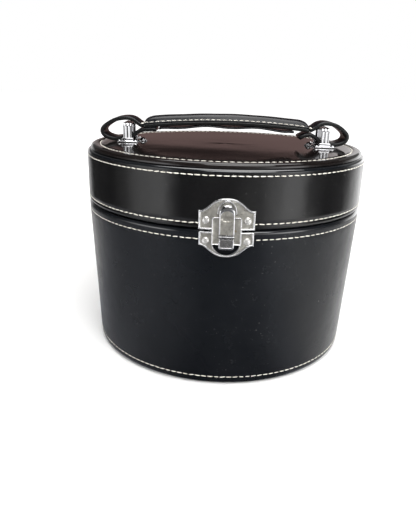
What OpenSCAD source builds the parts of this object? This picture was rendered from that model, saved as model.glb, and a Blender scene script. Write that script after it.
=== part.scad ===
// Round train case, in the shape of a small hat box.
// A fibreboard drum covered in black leatherette, with a hinged lid, a chrome snap latch at the front
// and a carrying handle whose strap loops run through two chrome stirrups on the lid.
// The origin is the centre of the underside. +Z is up, and the latch faces -Y.

/* [Case] */
// Outside diameter of the lid, and of the base at its rim
case_d = 220; // [180:1:300]
// How much narrower the radius of the base is at the bottom edge
taper = 5.6; // [0:0.1:14]
// Height of the base, from the ground to its rim
base_h = 118; // [90:1:200]
// Height of the lid, from its lower rim to its top
lid_h = 42.4; // [36:0.2:80]
// Gap between the rims of the base and the closed lid
seam_gap = 0.6; // [0.4:0.1:2]

/* [Walls] */
// Thickness of the fibreboard
board_t = 2.4; // [1.6:0.1:4]
// Thickness of the leatherette wrap
wrap_t = 1; // [0.6:0.1:1.6]
// Thickness of the fabric lining
lining_t = 0.8; // [0.4:0.1:1.6]
// How far the wrap turns down inside each rim
turn_in = 9; // [5:0.5:16]
// Rounding of the bottom edge of the base
foot_round = 4.5; // [3:0.5:8]
// How far the wrap runs in under the bottom
turn_under = 8; // [4:0.5:14]
// Thickness of the padded floor
floor_pad_t = 3; // [1.5:0.5:8]
// Thickness of the padded panel inside the lid
lid_pad_t = 4; // [2:0.5:8]

/* [Lid top] */
// Thickness of the padded top panel
panel_t = 3.6; // [2.4:0.2:8]
// How far the edge of the top panel stands in from the side of the lid
panel_inset = 2.6; // [1:0.2:8]
// Rounding of the edge of the top panel
panel_round = 2.6; // [1:0.2:3]

/* [Latch] */
// Width of the two latch plates
latch_w = 36.4; // [30:0.2:44]
// Height of the upper latch plate above its lower edge
latch_up = 20.9; // [17:0.1:24]
// Height of the lower latch plate below its upper edge
latch_down = 17.1; // [15:0.1:20]
// Thickness of the latch plates
latch_t = 1; // [0.6:0.1:1.4]
// Width of the channel that the hasp lies on
channel_w = 19.2; // [16:0.2:24]
// Width of the hasp
hasp_w = 10.2; // [8:0.2:13]
// Distance of each latch rivet from the middle
latch_rivet_x = 13.3; // [12:0.1:15]
// Radius of the head of a latch rivet
latch_rivet_r = 2.6; // [1.8:0.1:3]

/* [Handle] */
// Length of the padded grip
grip_len = 130; // [90:1:140]
// Height of the padding above the strap
grip_pad_h = 5.3; // [3:0.1:9]
// Rise of the grip in its middle
grip_arch = 3.6; // [1:0.2:8]
// Width of the strap
strap_w = 20.5; // [16:0.5:28]
// Thickness of the strap
strap_t = 3; // [2:0.1:3.6]
// Distance of each stirrup from the middle of the lid
stirrup_x = 78; // [74:1:86]
// Height of a stirrup above the lid
stirrup_h = 15; // [14:0.2:17]
// Width of the metal strip of a stirrup
stirrup_strip = 6.6; // [4:0.2:8]
// Height of the middle of the strap above the lid at the middle of the grip
grip_rise = 16.2; // [15:0.2:22]

/* [Hinge] */
// Width of the back hinge
hinge_w = 34; // [24:1:44]
// Height of each leaf of the back hinge
hinge_leaf_h = 16; // [12:1:22]
// Radius of the knuckles of the back hinge
knuckle_r = 2.2; // [1.8:0.1:2.6]
// Radius of the pin of the back hinge
hinge_pin_r = 1; // [0.7:0.1:1.2]

/* [Hidden] */
$fn = 96;

// Clearances: between pieces that are glued or sewn, round a rivet, and round a hinge pin
glue_gap = 0.05;
rivet_gap = 0.05;
pin_gap = 0.05;
side_gap = 0.3;

case_r = case_d / 2;
foot_r = case_r - taper;
wall_t = board_t + 2 * wrap_t + 2 * glue_gap;
rim_round = wall_t / 2;
cover_t = 0.8;
under_z = cover_t + glue_gap;
lid_z = base_h + seam_gap;
top_z = lid_z + lid_h;
panel_z = top_z - panel_t;
turn_z = panel_z - glue_gap;
seam_z = base_h + seam_gap / 2;
bead_round = 2.2;
board_in_r = case_r - wrap_t - glue_gap - board_t;

// ---------------------------------------------------------------- outlines

// Points on an arc round (x, y), from angle a to angle b
function arc(x, y, r, a, b, n = 5) = [
    for (i = [0:n])
        let (t = a + (b - a) * i / n)
            [x + r * cos(t), y + r * sin(t)]
];

// Radius of the outside of the base at height z
function base_r(z) = case_r - taper * (base_h - z) / base_h;

// Height where the wall of the base starts, the lean of that wall, and the bevel of its board
foot_z = foot_round + under_z;
wall_lean = (case_r - base_r(foot_z)) / (base_h - rim_round - foot_z);
rim_bevel = board_t / 8;

// A rectangle with round corners, about the origin
module round_rect(w, h, r) {
    square([w - 2 * r, h], center = true);
    square([w, h - 2 * r], center = true);
    for (x = [-1, 1], y = [-1, 1])
        translate([x * (w / 2 - r), y * (h / 2 - r)])
            circle(r);
}

// A dome head with its shank, along +Z from the seat at z = 0
module dome_rivet(r, h, shank_r, shank) {
    ball_r = (r * r + h * h) / (2 * h);
    intersection() {
        translate([0, 0, h - ball_r])
            sphere(ball_r);
        cylinder(h = h + 1, r = r + 1);
    }
    translate([0, 0, -shank])
        cylinder(h = shank + h / 2, r = shank_r);
}

// ---------------------------------------------------------------- base

module base_wall_holes() {
    latch_bores(latch_rivet_lower_z);
    hinge_bores(hinge_rivet_lower_z);
}

module base_board() {
    color("tan")
        difference() {
            rotate_extrude()
                polygon([
                    [base_r(foot_z) - foot_round + glue_gap, bottom_board_z],
                    [base_r(foot_z) - wrap_t - glue_gap, foot_z],
                    [case_r - wrap_t - glue_gap, base_h - rim_round],
                    [case_r - rim_round + board_t / 4, base_h - wrap_t - glue_gap - rim_bevel],
                    [case_r - rim_round - board_t / 4, base_h - wrap_t - glue_gap - rim_bevel],
                    [board_in_r, base_h - rim_round],
                    [base_r(foot_z) - wrap_t - glue_gap - board_t, foot_z],
                    [base_r(foot_z) - foot_round + glue_gap, foot_round]]);
            base_wall_holes();
        }
}

bottom_board_r = foot_r - foot_round;
bottom_board_z = under_z + wrap_t + glue_gap;

module bottom_board() {
    color("tan")
        translate([0, 0, bottom_board_z])
            cylinder(h = board_t, r = bottom_board_r);
}

module base_wrap() {
    edge_r = base_r(foot_z) - foot_round;
    turn_r = case_r - wall_t - wall_lean * turn_in;
    color([0.03, 0.03, 0.035])
        difference() {
            rotate_extrude()
                polygon(concat(
                    [[edge_r - turn_under, under_z]],
                    arc(edge_r, foot_z, foot_round, -90, 0),
                    arc(case_r - rim_round, base_h - rim_round, rim_round, 0, 180, 8),
                    [[turn_r, base_h - rim_round - turn_in],
                     [turn_r + wrap_t, base_h - rim_round - turn_in]],
                    arc(case_r - rim_round, base_h - rim_round, rim_round - wrap_t, 180, 0, 8),
                    arc(edge_r, foot_z, foot_round - wrap_t, 0, -90),
                    [[edge_r - turn_under, under_z + wrap_t]]));
            base_wall_holes();
        }
}

module bottom_cover() {
    color([0.05, 0.05, 0.05])
        cylinder(h = cover_t, r = base_r(0) - foot_round - 1);
}

floor_z = bottom_board_z + board_t + glue_gap;
lining_top_z = base_h - rim_round - turn_in - side_gap;

module base_lining() {
    lining_r = base_r(floor_z) - wrap_t - board_t - 3 * glue_gap;
    rim_r = base_r(lining_top_z) - wrap_t - board_t - 3 * glue_gap;
    color([0.12, 0.12, 0.13])
        rotate_extrude()
            polygon([
                [lining_r, floor_z + foot_round],
                [rim_r, lining_top_z],
                [rim_r - lining_t, lining_top_z],
                [lining_r - lining_t, floor_z + foot_round]]);
}

module floor_pad() {
    pad_r = min(bottom_board_r, base_r(floor_z) - wrap_t - board_t - lining_t) - side_gap;
    color([0.13, 0.13, 0.14])
        translate([0, 0, floor_z])
            cylinder(h = floor_pad_t, r = pad_r);
}

// ---------------------------------------------------------------- lid

module lid_wall_holes() {
    latch_bores(latch_rivet_upper_z);
    hinge_bores(hinge_rivet_upper_z);
}

lid_board_top_z = turn_z - wrap_t - glue_gap;

module lid_board() {
    low = lid_z + rim_round;
    color("tan")
        difference() {
            rotate_extrude()
                polygon([
                    [board_in_r, low],
                    [case_r - rim_round - board_t / 4, lid_z + wrap_t + glue_gap + rim_bevel],
                    [case_r - rim_round + board_t / 4, lid_z + wrap_t + glue_gap + rim_bevel],
                    [case_r - wrap_t - glue_gap, low],
                    [case_r - wrap_t - glue_gap, lid_board_top_z - board_t / 2],
                    [case_r - wrap_t - glue_gap - board_t / 2, lid_board_top_z],
                    [board_in_r, lid_board_top_z]]);
            lid_wall_holes();
        }
}

module lid_top_board() {
    color("tan")
        difference() {
            translate([0, 0, lid_board_top_z - board_t])
                cylinder(h = board_t, r = board_in_r - glue_gap);
            stirrup_bores();
        }
}

// The band round the lid, rolled over the top edge and under the lower rim
module lid_side_wrap() {
    low = lid_z + rim_round;
    color([0.03, 0.03, 0.035])
        difference() {
            rotate_extrude()
                polygon(concat(
                    [[case_r - wall_t, low + turn_in]],
                    arc(case_r - rim_round, low, rim_round, 180, 360, 8),
                    arc(case_r - bead_round, turn_z - bead_round, bead_round, 0, 90),
                    [[case_r - bead_round - turn_under, turn_z],
                     [case_r - bead_round - turn_under, turn_z - wrap_t]],
                    arc(case_r - bead_round, turn_z - bead_round, bead_round - wrap_t, 90, 0),
                    arc(case_r - rim_round, low, rim_round - wrap_t, 360, 180, 8),
                    [[case_r - wall_t + wrap_t, low + turn_in]]));
            lid_wall_holes();
        }
}

panel_r = case_r - panel_inset;

module lid_top_panel() {
    color([0.04, 0.03, 0.03])
        difference() {
            rotate_extrude()
                polygon(concat(
                    [[0, panel_z], [panel_r - panel_round / 3, panel_z]],
                    arc(panel_r - panel_round, top_z - panel_round, panel_round, 0, 90),
                    [[0, top_z]]));
            stirrup_bores();
        }
}

lid_pad_z = lid_board_top_z - board_t - glue_gap - lid_pad_t;

module lid_lining() {
    out_r = board_in_r - glue_gap;
    color([0.12, 0.12, 0.13])
        translate([0, 0, lid_z + rim_round + turn_in + side_gap])
            difference() {
                cylinder(h = lid_pad_z + lid_pad_t - lid_z - rim_round - turn_in - side_gap, r = out_r);
                translate([0, 0, -1])
                    cylinder(h = lid_h, r = out_r - lining_t);
            }
}

module lid_pad() {
    color([0.13, 0.13, 0.14])
        translate([0, 0, lid_pad_z])
            cylinder(h = lid_pad_t, r = board_in_r - lining_t - glue_gap - side_gap);
}

// ---------------------------------------------------------------- latch

latch_low_z = seam_z + 0.4;
latch_high_z = seam_z - 0.8;
latch_rivet_upper_z = latch_low_z + 6.5;
latch_rivet_lower_z = latch_high_z - 6;
rivet_hole_r = 1.2;
channel_front = 2.4;
channel_plate_t = 0.8;
channel_top_z = latch_low_z + 9;
channel_low_z = latch_high_z - 9.2;
recess_z = latch_high_z - 6.6;
hasp_axis_z = seam_z - 3.3;
hasp_pin_r = 0.8;
hasp_knuckle_r = 1.25;
hasp_axis_out = channel_front + side_gap + hasp_knuckle_r;
knuckle_block_front = channel_front + 1.4;
knuckle_gap = 0.2;
hasp_top_z = latch_low_z + latch_up - 3.8;
hasp_half = hasp_w / 2;
knuckle_half = hasp_half * 0.6;

// Radial bores through the wall for the two rivets of a latch plate
module latch_bores(z) {
    for (s = [-1, 1])
        rotate([0, 0, s * asin(latch_rivet_x / case_r)])
            translate([0, -case_r + 20, z])
                rotate([90, 0, 0])
                    cylinder(h = 40, r = rivet_hole_r + rivet_gap);
}

module latch_rivets(z) {
    for (s = [-1, 1])
        rotate([0, 0, s * asin(latch_rivet_x / case_r)])
            translate([0, -case_r - latch_t - 2 * glue_gap, z])
                rotate([90, 0, 0])
                    dome_rivet(latch_rivet_r, 1.4, rivet_hole_r, latch_t + wrap_t + board_t - 0.4);
}

// A flat outline (x, z) wrapped on the front or the back of the case
module wrapped_sheet(back, t) {
    intersection() {
        rotate([90, 0, back ? 180 : 0])
            linear_extrude(case_r + 10)
                children();
        translate([0, 0, -1])
            difference() {
                cylinder(h = top_z + 2, r = case_r + glue_gap + t);
                translate([0, 0, -1])
                    cylinder(h = top_z + 4, r = case_r + glue_gap);
            }
    }
}

module upper_plate_outline() {
    dome_r = latch_w / 2 - 0.7;
    shoulder = latch_up - 8.6;
    translate([-latch_w / 2, latch_low_z])
        square([latch_w, shoulder]);
    intersection() {
        translate([0, latch_low_z + latch_up - dome_r])
            circle(dome_r);
        translate([-latch_w / 2, latch_low_z])
            square([latch_w, latch_up + 1]);
    }
}

module lower_plate_outline() {
    dome_r = latch_w / 2 + 0.3;
    shoulder = latch_down - 7.8;
    difference() {
        union() {
            translate([-latch_w / 2, latch_high_z - shoulder])
                square([latch_w, shoulder]);
            intersection() {
                translate([0, latch_high_z - latch_down + dome_r])
                    circle(dome_r);
                translate([-latch_w / 2, latch_high_z - latch_down - 1])
                    square([latch_w, latch_down + 1]);
            }
        }
        recess_outline(channel_w / 2 - 0.9);
    }
}

// The round finger recess under the channel
module recess_outline(r) {
    intersection() {
        translate([0, recess_z])
            circle(r);
        translate([-r, recess_z - r])
            square([2 * r, channel_low_z - recess_z + r]);
    }
}

// Places a block by its distance out from the front of the case
module front_block(x, z, out, w, h, t) {
    translate([x - w / 2, -case_r - out - t, z])
        cube([w, t, h]);
}

// The catch that the hasp's lip snaps over
module latch_upper_plate() {
    color("silver")
        difference() {
            union() {
                wrapped_sheet(false, latch_t)
                    upper_plate_outline();
                front_block(0, hasp_top_z - 3, latch_t / 2, 5, 1.5, 1.8);
            }
            latch_bores(latch_rivet_upper_z);
        }
}

module latch_upper_rivets() {
    color("silver")
        latch_rivets(latch_rivet_upper_z);
}

module latch_lower_plate() {
    wall = 0.8;
    outer_x = (knuckle_half + hasp_half + knuckle_gap) / 2;
    outer_w = hasp_half - knuckle_half - knuckle_gap;
    color("silver")
        difference() {
            union() {
                wrapped_sheet(false, latch_t)
                    lower_plate_outline();
                // channel plate, standing clear of the upper plate
                front_block(0, channel_low_z, channel_front - channel_plate_t,
                    channel_w, channel_top_z - channel_low_z, channel_plate_t);
                // channel sides
                for (s = [-1, 1])
                    front_block(s * (channel_w - wall) / 2, recess_z, 0.3,
                        wall, latch_high_z - recess_z, channel_front - 0.3);
                // rim of the finger recess
                translate([0, -case_r - 0.3, 0])
                    rotate([90, 0, 0])
                        linear_extrude(channel_front - 0.3)
                            difference() {
                                recess_outline(channel_w / 2);
                                translate([0, recess_z])
                                    circle(channel_w / 2 - wall);
                            }
                // knuckle block in front of the channel, with its round lower end
                front_block(0, channel_low_z, channel_front - 0.1,
                    hasp_w, hasp_axis_z - hasp_knuckle_r - side_gap - channel_low_z,
                    knuckle_block_front - channel_front + 0.1);
                translate([-hasp_half, -case_r - channel_front + 0.1, channel_low_z])
                    rotate([0, 90, 0])
                        cylinder(h = hasp_w, r = 1.5);
                // outer knuckles
                for (s = [-1, 1]) {
                    translate([s * outer_x, -case_r - hasp_axis_out, hasp_axis_z])
                        rotate([0, 90, 0])
                            cylinder(h = outer_w, r = hasp_knuckle_r, center = true);
                    front_block(s * outer_x, channel_low_z, channel_front - 0.1,
                        outer_w, hasp_axis_z - channel_low_z, 1.2);
                }
            }
            latch_bores(latch_rivet_lower_z);
            translate([-hasp_w, -case_r - hasp_axis_out, hasp_axis_z])
                rotate([0, 90, 0])
                    cylinder(h = 2 * hasp_w, r = hasp_pin_r + 0.02);
        }
}

module latch_lower_rivets() {
    color("silver")
        latch_rivets(latch_rivet_lower_z);
}

module latch_hasp_pin() {
    color("gray")
        translate([-hasp_half, -case_r - hasp_axis_out, hasp_axis_z])
            rotate([0, 90, 0])
                cylinder(h = hasp_w, r = hasp_pin_r);
}

module hasp_outline(r) {
    low = hasp_axis_z + hasp_knuckle_r + 0.4;
    translate([-r, low])
        square([2 * r, hasp_top_z - hasp_half - low]);
    translate([0, hasp_top_z - hasp_half])
        circle(r);
}

module latch_hasp() {
    back = channel_front + side_gap;
    face_t = 1;
    face_out = back + 0.7;
    color("silver")
        difference() {
            union() {
                // face
                translate([0, -case_r - face_out, 0])
                    rotate([90, 0, 0])
                        linear_extrude(face_t)
                            hasp_outline(hasp_half);
                // turned-back edge
                translate([0, -case_r - back, 0])
                    rotate([90, 0, 0])
                        linear_extrude(face_t + 0.3)
                            difference() {
                                hasp_outline(hasp_half);
                                hasp_outline(hasp_half - 0.9);
                            }
                // lip that snaps over the catch
                front_block(0, hasp_top_z - 1.2, latch_t + 0.5, 5, 1, face_out - latch_t);
                // middle knuckle and its neck
                translate([0, -case_r - hasp_axis_out, hasp_axis_z])
                    rotate([0, 90, 0])
                        cylinder(h = 2 * knuckle_half - knuckle_gap, r = hasp_knuckle_r, center = true);
                front_block(0, hasp_axis_z, face_out, 2 * knuckle_half - knuckle_gap, 2.6, face_t);
            }
            translate([-hasp_w, -case_r - hasp_axis_out, hasp_axis_z])
                rotate([0, 90, 0])
                    cylinder(h = 2 * hasp_w, r = hasp_pin_r + pin_gap);
        }
}

// ---------------------------------------------------------------- back hinge

hinge_axis_y = case_r + 0.4 + knuckle_r;
hinge_rivet_x = hinge_w / 2 - 5;
hinge_rivet_lower_z = seam_z - knuckle_r - hinge_leaf_h / 2;
hinge_rivet_upper_z = seam_z + knuckle_r + hinge_leaf_h / 2;
knuckle_w = hinge_w / 3;

module hinge_bores(z) {
    for (s = [-1, 1])
        rotate([0, 0, s * asin(hinge_rivet_x / case_r)])
            translate([0, case_r - 20, z])
                rotate([-90, 0, 0])
                    cylinder(h = 40, r = rivet_hole_r + rivet_gap);
}

module hinge_rivets(z) {
    for (s = [-1, 1])
        rotate([0, 0, s * asin(hinge_rivet_x / case_r)])
            translate([0, case_r + latch_t + 2 * glue_gap, z])
                rotate([-90, 0, 0])
                    dome_rivet(2.2, 1.1, rivet_hole_r, latch_t + wrap_t + board_t - 0.4);
}

// A knuckle with the strip that joins it to its leaf, above (s = 1) or below (s = -1) the axis
module knuckle(x, w, s) {
    difference() {
        union() {
            translate([x, hinge_axis_y, seam_z])
                rotate([0, 90, 0])
                    cylinder(h = w, r = knuckle_r, center = true);
            translate([x - w / 2, case_r - 2, s > 0 ? seam_z : seam_z - knuckle_r - 1])
                cube([w, knuckle_r + 0.6, knuckle_r + 1]);
        }
        translate([0, 0, -1])
            cylinder(h = top_z, r = case_r + 0.4);
    }
}

// One leaf of the back hinge: s = 1 for the lid's, s = -1 for the base's
module hinge_leaf(s) {
    z = s > 0 ? seam_z + knuckle_r + 0.6 : seam_z - knuckle_r - 0.6 - hinge_leaf_h;
    difference() {
        union() {
            wrapped_sheet(true, latch_t)
                translate([0, z + hinge_leaf_h / 2])
                    round_rect(hinge_w, hinge_leaf_h, 2);
            if (s > 0)
                knuckle(0, knuckle_w - side_gap, s);
            else
                for (x = [-1, 1])
                    knuckle(x * knuckle_w, knuckle_w - side_gap, s);
        }
        hinge_bores(s > 0 ? hinge_rivet_upper_z : hinge_rivet_lower_z);
        translate([-hinge_w, hinge_axis_y, seam_z])
            rotate([0, 90, 0])
                cylinder(h = 2 * hinge_w, r = hinge_pin_r + (s > 0 ? pin_gap : 0.02));
    }
}

module hinge_lower_leaf() {
    color("silver")
        hinge_leaf(-1);
}

module hinge_upper_leaf() {
    color("silver")
        hinge_leaf(1);
}

module hinge_lower_rivets() {
    color("silver")
        hinge_rivets(hinge_rivet_lower_z);
}

module hinge_upper_rivets() {
    color("silver")
        hinge_rivets(hinge_rivet_upper_z);
}

module hinge_pin() {
    color("gray")
        translate([-hinge_w / 2, hinge_axis_y, seam_z])
            rotate([0, 90, 0])
                cylinder(h = hinge_w, r = hinge_pin_r);
}

// ---------------------------------------------------------------- stirrups

foot_plate_t = 1;
foot_plate_w = 17;
stirrup_t = 1.6;
stirrup_in = strap_w + 2.4;
stirrup_out = stirrup_in + 2 * stirrup_t;
foot_plate_len = stirrup_out + 4.5;
corner_rivet_x = 6.4;
foot_pad_len = 4.8;
foot_web_w = 8;
corner_rivet_y = (foot_plate_len - foot_pad_len) / 2;
dome_rivet_x = 10.6;
corner_rivet_r = 0.7;
dome_shank_r = 1.2;
stirrup_shank = foot_plate_t + panel_t + wrap_t + board_t - 1;

// Places children at each corner rivet of the stirrup on side s
module at_corner_rivets(s) {
    for (x = [-1, 1], y = [-1, 1])
        translate([s * stirrup_x + x * corner_rivet_x, y * corner_rivet_y, top_z])
            children();
}

module at_dome_rivet(s) {
    translate([s * (stirrup_x - dome_rivet_x), 0, top_z])
        children();
}

module stirrup_bores() {
    for (s = [-1, 1]) {
        at_corner_rivets(s)
            translate([0, 0, -20])
                cylinder(h = 30, r = corner_rivet_r + rivet_gap);
        at_dome_rivet(s)
            translate([0, 0, -20])
                cylinder(h = 30, r = dome_shank_r + rivet_gap);
    }
}

module stirrup(s) {
    groove = 1.3;
    color("silver")
        difference() {
            union() {
                // foot plate with the tongue for the dome rivet
                translate([s * stirrup_x, 0, top_z])
                    linear_extrude(foot_plate_t) {
                        for (y = [-1, 1])
                            translate([0, y * corner_rivet_y])
                                round_rect(foot_plate_w, foot_pad_len, 2);
                        square([foot_web_w, foot_plate_len - foot_pad_len], center = true);
                        translate([-s * dome_rivet_x, 0])
                            circle(3.4);
                        translate([-s * dome_rivet_x / 2, 0])
                            square([dome_rivet_x, 6.8], center = true);
                    }
                // bow
                translate([s * stirrup_x - stirrup_strip / 2, 0, top_z])
                    rotate([90, 0, 90])
                        linear_extrude(stirrup_strip)
                            difference() {
                                bow_outline(stirrup_out, stirrup_h, 3);
                                bow_outline(stirrup_in, stirrup_h - stirrup_t, 1.6);
                            }
                // collars round the feet of the bow
                for (y = [-1, 1])
                    translate([s * stirrup_x, y * (stirrup_in + stirrup_t + 0.6) / 2, top_z + 1.7])
                        cube([stirrup_strip + 2.6, stirrup_t + 0.6, 3.4], center = true);
            }
            // two shallow grooves along the outer face of each leg
            for (y = [-1, 1], x = [-1, 1])
                translate([s * stirrup_x + x * groove, y * stirrup_out / 2, top_z + stirrup_h / 2 + 0.6])
                    cube([groove, 0.7, stirrup_h - 8], center = true);
            stirrup_bores();
        }
}

// An upside-down U, filled, with round upper corners
module bow_outline(w, h, r) {
    translate([-w / 2, 0])
        square([w, h - r]);
    translate([-w / 2 + r, 0])
        square([w - 2 * r, h]);
    for (s = [-1, 1])
        translate([s * (w / 2 - r), h - r])
            circle(r);
}

module stirrup_rivets(s) {
    color("silver") {
        at_corner_rivets(s)
            translate([0, 0, foot_plate_t + glue_gap])
                dome_rivet(1.4, 0.9, corner_rivet_r, stirrup_shank);
        at_dome_rivet(s)
            translate([0, 0, foot_plate_t + glue_gap])
                dome_rivet(2.2, 1.7, dome_shank_r, stirrup_shank);
    }
}

module stirrup_left() {
    stirrup(-1);
}

module stirrup_right() {
    stirrup(1);
}

module stirrup_rivets_left() {
    stirrup_rivets(-1);
}

module stirrup_rivets_right() {
    stirrup_rivets(1);
}

// ---------------------------------------------------------------- handle

grip_half = grip_len / 2;
arch_r = (grip_half * grip_half + grip_arch * grip_arch) / (2 * grip_arch);
arch_z = top_z + grip_rise - arch_r;
strap_end_x = grip_half + 0.6;
strap_end_h = grip_rise - (arch_r - sqrt(arch_r * arch_r - strap_end_x * strap_end_x));
underlay_t = 1.8;
cover_skin = 1;

// Carries an outline (up from the strap's middle, across) along the arch of the grip
module arched(len) {
    turn = 2 * asin(len / 2 / arch_r);
    translate([0, 0, arch_z])
        rotate([-90, -90, 0])
            rotate([0, 0, -turn / 2])
                rotate_extrude(angle = turn)
                    translate([arch_r, 0])
                        children();
}

module grip_strap() {
    color([0.03, 0.03, 0.035])
        arched(2 * strap_end_x)
            square([strap_t, strap_w], center = true);
}

module grip_underlay() {
    color([0.02, 0.02, 0.02])
        arched(2 * (stirrup_x - 24))
            translate([-strap_t / 2 - glue_gap - underlay_t / 2, 0])
                square([underlay_t, strap_w - 1], center = true);
}

module pad_outline(w, h, r) {
    intersection() {
        translate([0, -w / 2])
            square([h, w]);
        round_rect(2 * h, w, r);
    }
}

module grip_core() {
    color("dimgray")
        arched(grip_len - 1)
            translate([strap_t / 2 + glue_gap, 0])
                pad_outline(strap_w - 2.4 - 2 * cover_skin, grip_pad_h - cover_skin - glue_gap, 3);
}

module grip_cover() {
    color([0.03, 0.03, 0.035])
        arched(grip_len)
            translate([strap_t / 2 + glue_gap, 0])
                difference() {
                    union() {
                        pad_outline(strap_w - 2.2, grip_pad_h, 4);
                        translate([0, -strap_w / 2])
                            square([cover_skin, strap_w]);
                    }
                    translate([-1, 0])
                        pad_outline(strap_w - 2.2 - 2 * cover_skin, grip_pad_h - cover_skin + 1, 3);
                }
}

// Middle of the strap round a loop: distance from the middle of the lid and height above the lid.
// It leaves the grip, rises over the stirrup, comes down outside it, passes through it along the lid
// and rises again to end under the grip.
loop_path = [
    [strap_end_x + 1, strap_end_h],
    [(strap_end_x + stirrup_x - 4) / 2, (strap_end_h + stirrup_h + 2.2) / 2 - 0.5],
    [stirrup_x - 4, stirrup_h + 2.2],
    [stirrup_x + 1.5, stirrup_h + 3.2],
    [stirrup_x + 9, stirrup_h + 1.6],
    [stirrup_x + 16, stirrup_h - 3.2],
    [stirrup_x + 18, stirrup_h - 7],
    [stirrup_x + 16, stirrup_h - 10.8],
    [stirrup_x + 9.5, 2],
    [stirrup_x + 4.5, 2.8],
    [stirrup_x, 3.2],
    [stirrup_x - 4, 4.8],
    [stirrup_x - 7, 7.3],
    [stirrup_x - 11, strap_end_h - strap_t - 0.4],
    [stirrup_x - 17, strap_end_h - strap_t - 0.6],
    [stirrup_x - 22, strap_end_h - strap_t - 1.6]
];

// A point on the smooth curve through the path's points, and its direction
function path_point(p, i) = p[max(0, min(len(p) - 1, i))];
function smooth(p, i, t) = let (
        a = path_point(p, i - 1), b = path_point(p, i), c = path_point(p, i + 1), d = path_point(p, i + 2))
    0.5 * (2 * b + (c - a) * t + (2 * a - 5 * b + 4 * c - d) * t * t + (3 * b - a - 3 * c + d) * t * t * t);
function sampled(p, n) = concat(
    [for (i = [0:len(p) - 2], k = [0:n - 1]) smooth(p, i, k / n)],
    [p[len(p) - 1]]);
function side_of(q, i) = let (
        d = path_point(q, i + 1) - path_point(q, i - 1))
    [-d[1], d[0]] / norm(d);

module strap_loop(s) {
    middle = sampled(loop_path, 4);
    count = len(middle);
    color([0.03, 0.03, 0.035])
        mirror([s < 0 ? 1 : 0, 0, 0])
            translate([0, strap_w / 2, top_z])
                rotate([90, 0, 0])
                    linear_extrude(strap_w)
                        polygon(concat(
                            [for (i = [0:count - 1]) middle[i] + side_of(middle, i) * strap_t / 2],
                            [for (i = [count - 1:-1:0]) middle[i] - side_of(middle, i) * strap_t / 2]));
}

module strap_loop_left() {
    strap_loop(-1);
}

module strap_loop_right() {
    strap_loop(1);
}

// ---------------------------------------------------------------- the model

base_board();
bottom_board();
base_wrap();
bottom_cover();
base_lining();
floor_pad();
lid_board();
lid_top_board();
lid_side_wrap();
lid_top_panel();
lid_lining();
lid_pad();
latch_lower_plate();
latch_lower_rivets();
latch_upper_plate();
latch_upper_rivets();
latch_hasp();
latch_hasp_pin();
hinge_lower_leaf();
hinge_lower_rivets();
hinge_upper_leaf();
hinge_upper_rivets();
hinge_pin();
stirrup_left();
stirrup_right();
stirrup_rivets_left();
stirrup_rivets_right();
strap_loop_left();
strap_loop_right();
grip_strap();
grip_underlay();
grip_core();
grip_cover();
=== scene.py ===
# %% [markdown]
# # A round train case
# The real object is a drum of pressed board, covered in black leatherette and sewn with thick cream
# thread. Its lid is hinged at the back, held by a chrome snap latch at the front, and carried by a
# padded handle whose strap loops run through two chrome stirrups.
# Everything that moves or fastens comes from the CAD frame. This lesson gives it its surfaces.
# Each piece is a shape of two parameters, worked out as a whole array with numpy: a profile turned
# round an axis, an outline carried along a path, or a plate whose outline shrinks ring by ring.

# %% Load the frame
import math

import bmesh
import bpy
import numpy as np
from mathutils import Matrix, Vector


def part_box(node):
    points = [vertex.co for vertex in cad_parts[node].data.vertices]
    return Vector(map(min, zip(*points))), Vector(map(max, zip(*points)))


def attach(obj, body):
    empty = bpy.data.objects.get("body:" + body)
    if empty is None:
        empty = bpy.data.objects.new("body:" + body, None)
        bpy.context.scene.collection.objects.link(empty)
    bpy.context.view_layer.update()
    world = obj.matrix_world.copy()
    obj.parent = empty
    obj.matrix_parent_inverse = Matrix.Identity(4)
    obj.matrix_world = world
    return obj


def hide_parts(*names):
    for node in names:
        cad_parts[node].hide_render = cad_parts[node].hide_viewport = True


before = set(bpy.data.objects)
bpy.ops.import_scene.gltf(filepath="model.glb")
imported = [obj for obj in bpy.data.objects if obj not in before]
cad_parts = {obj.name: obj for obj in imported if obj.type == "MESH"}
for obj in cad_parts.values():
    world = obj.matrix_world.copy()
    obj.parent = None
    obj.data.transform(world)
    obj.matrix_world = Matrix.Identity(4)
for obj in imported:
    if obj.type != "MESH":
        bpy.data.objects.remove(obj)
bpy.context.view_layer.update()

MM = 0.001
chance = np.random.default_rng(7)

# %% [markdown]
# ## Sizes
# The main sizes come from the boxes of the CAD nodes, so that a new pack moves the surfaces built on
# them; the latch's outlines and many small sizes are given as numbers. Lengths in this lesson are in
# millimetres until a mesh is made.

# %% Read the driving sizes from the frame
def low(node):
    """Lowest corner of a CAD node, in mm."""
    return np.array(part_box(node)[0]) / MM


def high(node):
    """Highest corner of a CAD node, in mm."""
    return np.array(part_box(node)[1]) / MM


def reach(node):
    """Largest distance of a CAD node's points from the middle axis, in mm."""
    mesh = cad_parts[node].data
    places = np.zeros(len(mesh.vertices) * 3)
    mesh.vertices.foreach_get("co", places)
    return float(np.hypot(places[0::3], places[1::3]).max()) / MM


case_r = reach("lid_side_wrap")
foot_z = low("base_wrap")[2]
rim_z = high("base_wrap")[2]
lid_low_z = low("lid_side_wrap")[2]
band_top_z = high("lid_side_wrap")[2]
panel_low_z = low("lid_top_panel")[2]
panel_r = reach("lid_top_panel")
top_z = high("lid_top_panel")[2]
foot_r = reach("bottom_cover") + 5.5
board_in_r = reach("lid_lining") + 0.05
wall_t = case_r - board_in_r + 1.05
rim_round = wall_t / 2
skin_t = 1.0
print("lid radius", round(case_r, 1), "rim of the base at", round(rim_z, 1), "top at", round(top_z, 1))

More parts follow.
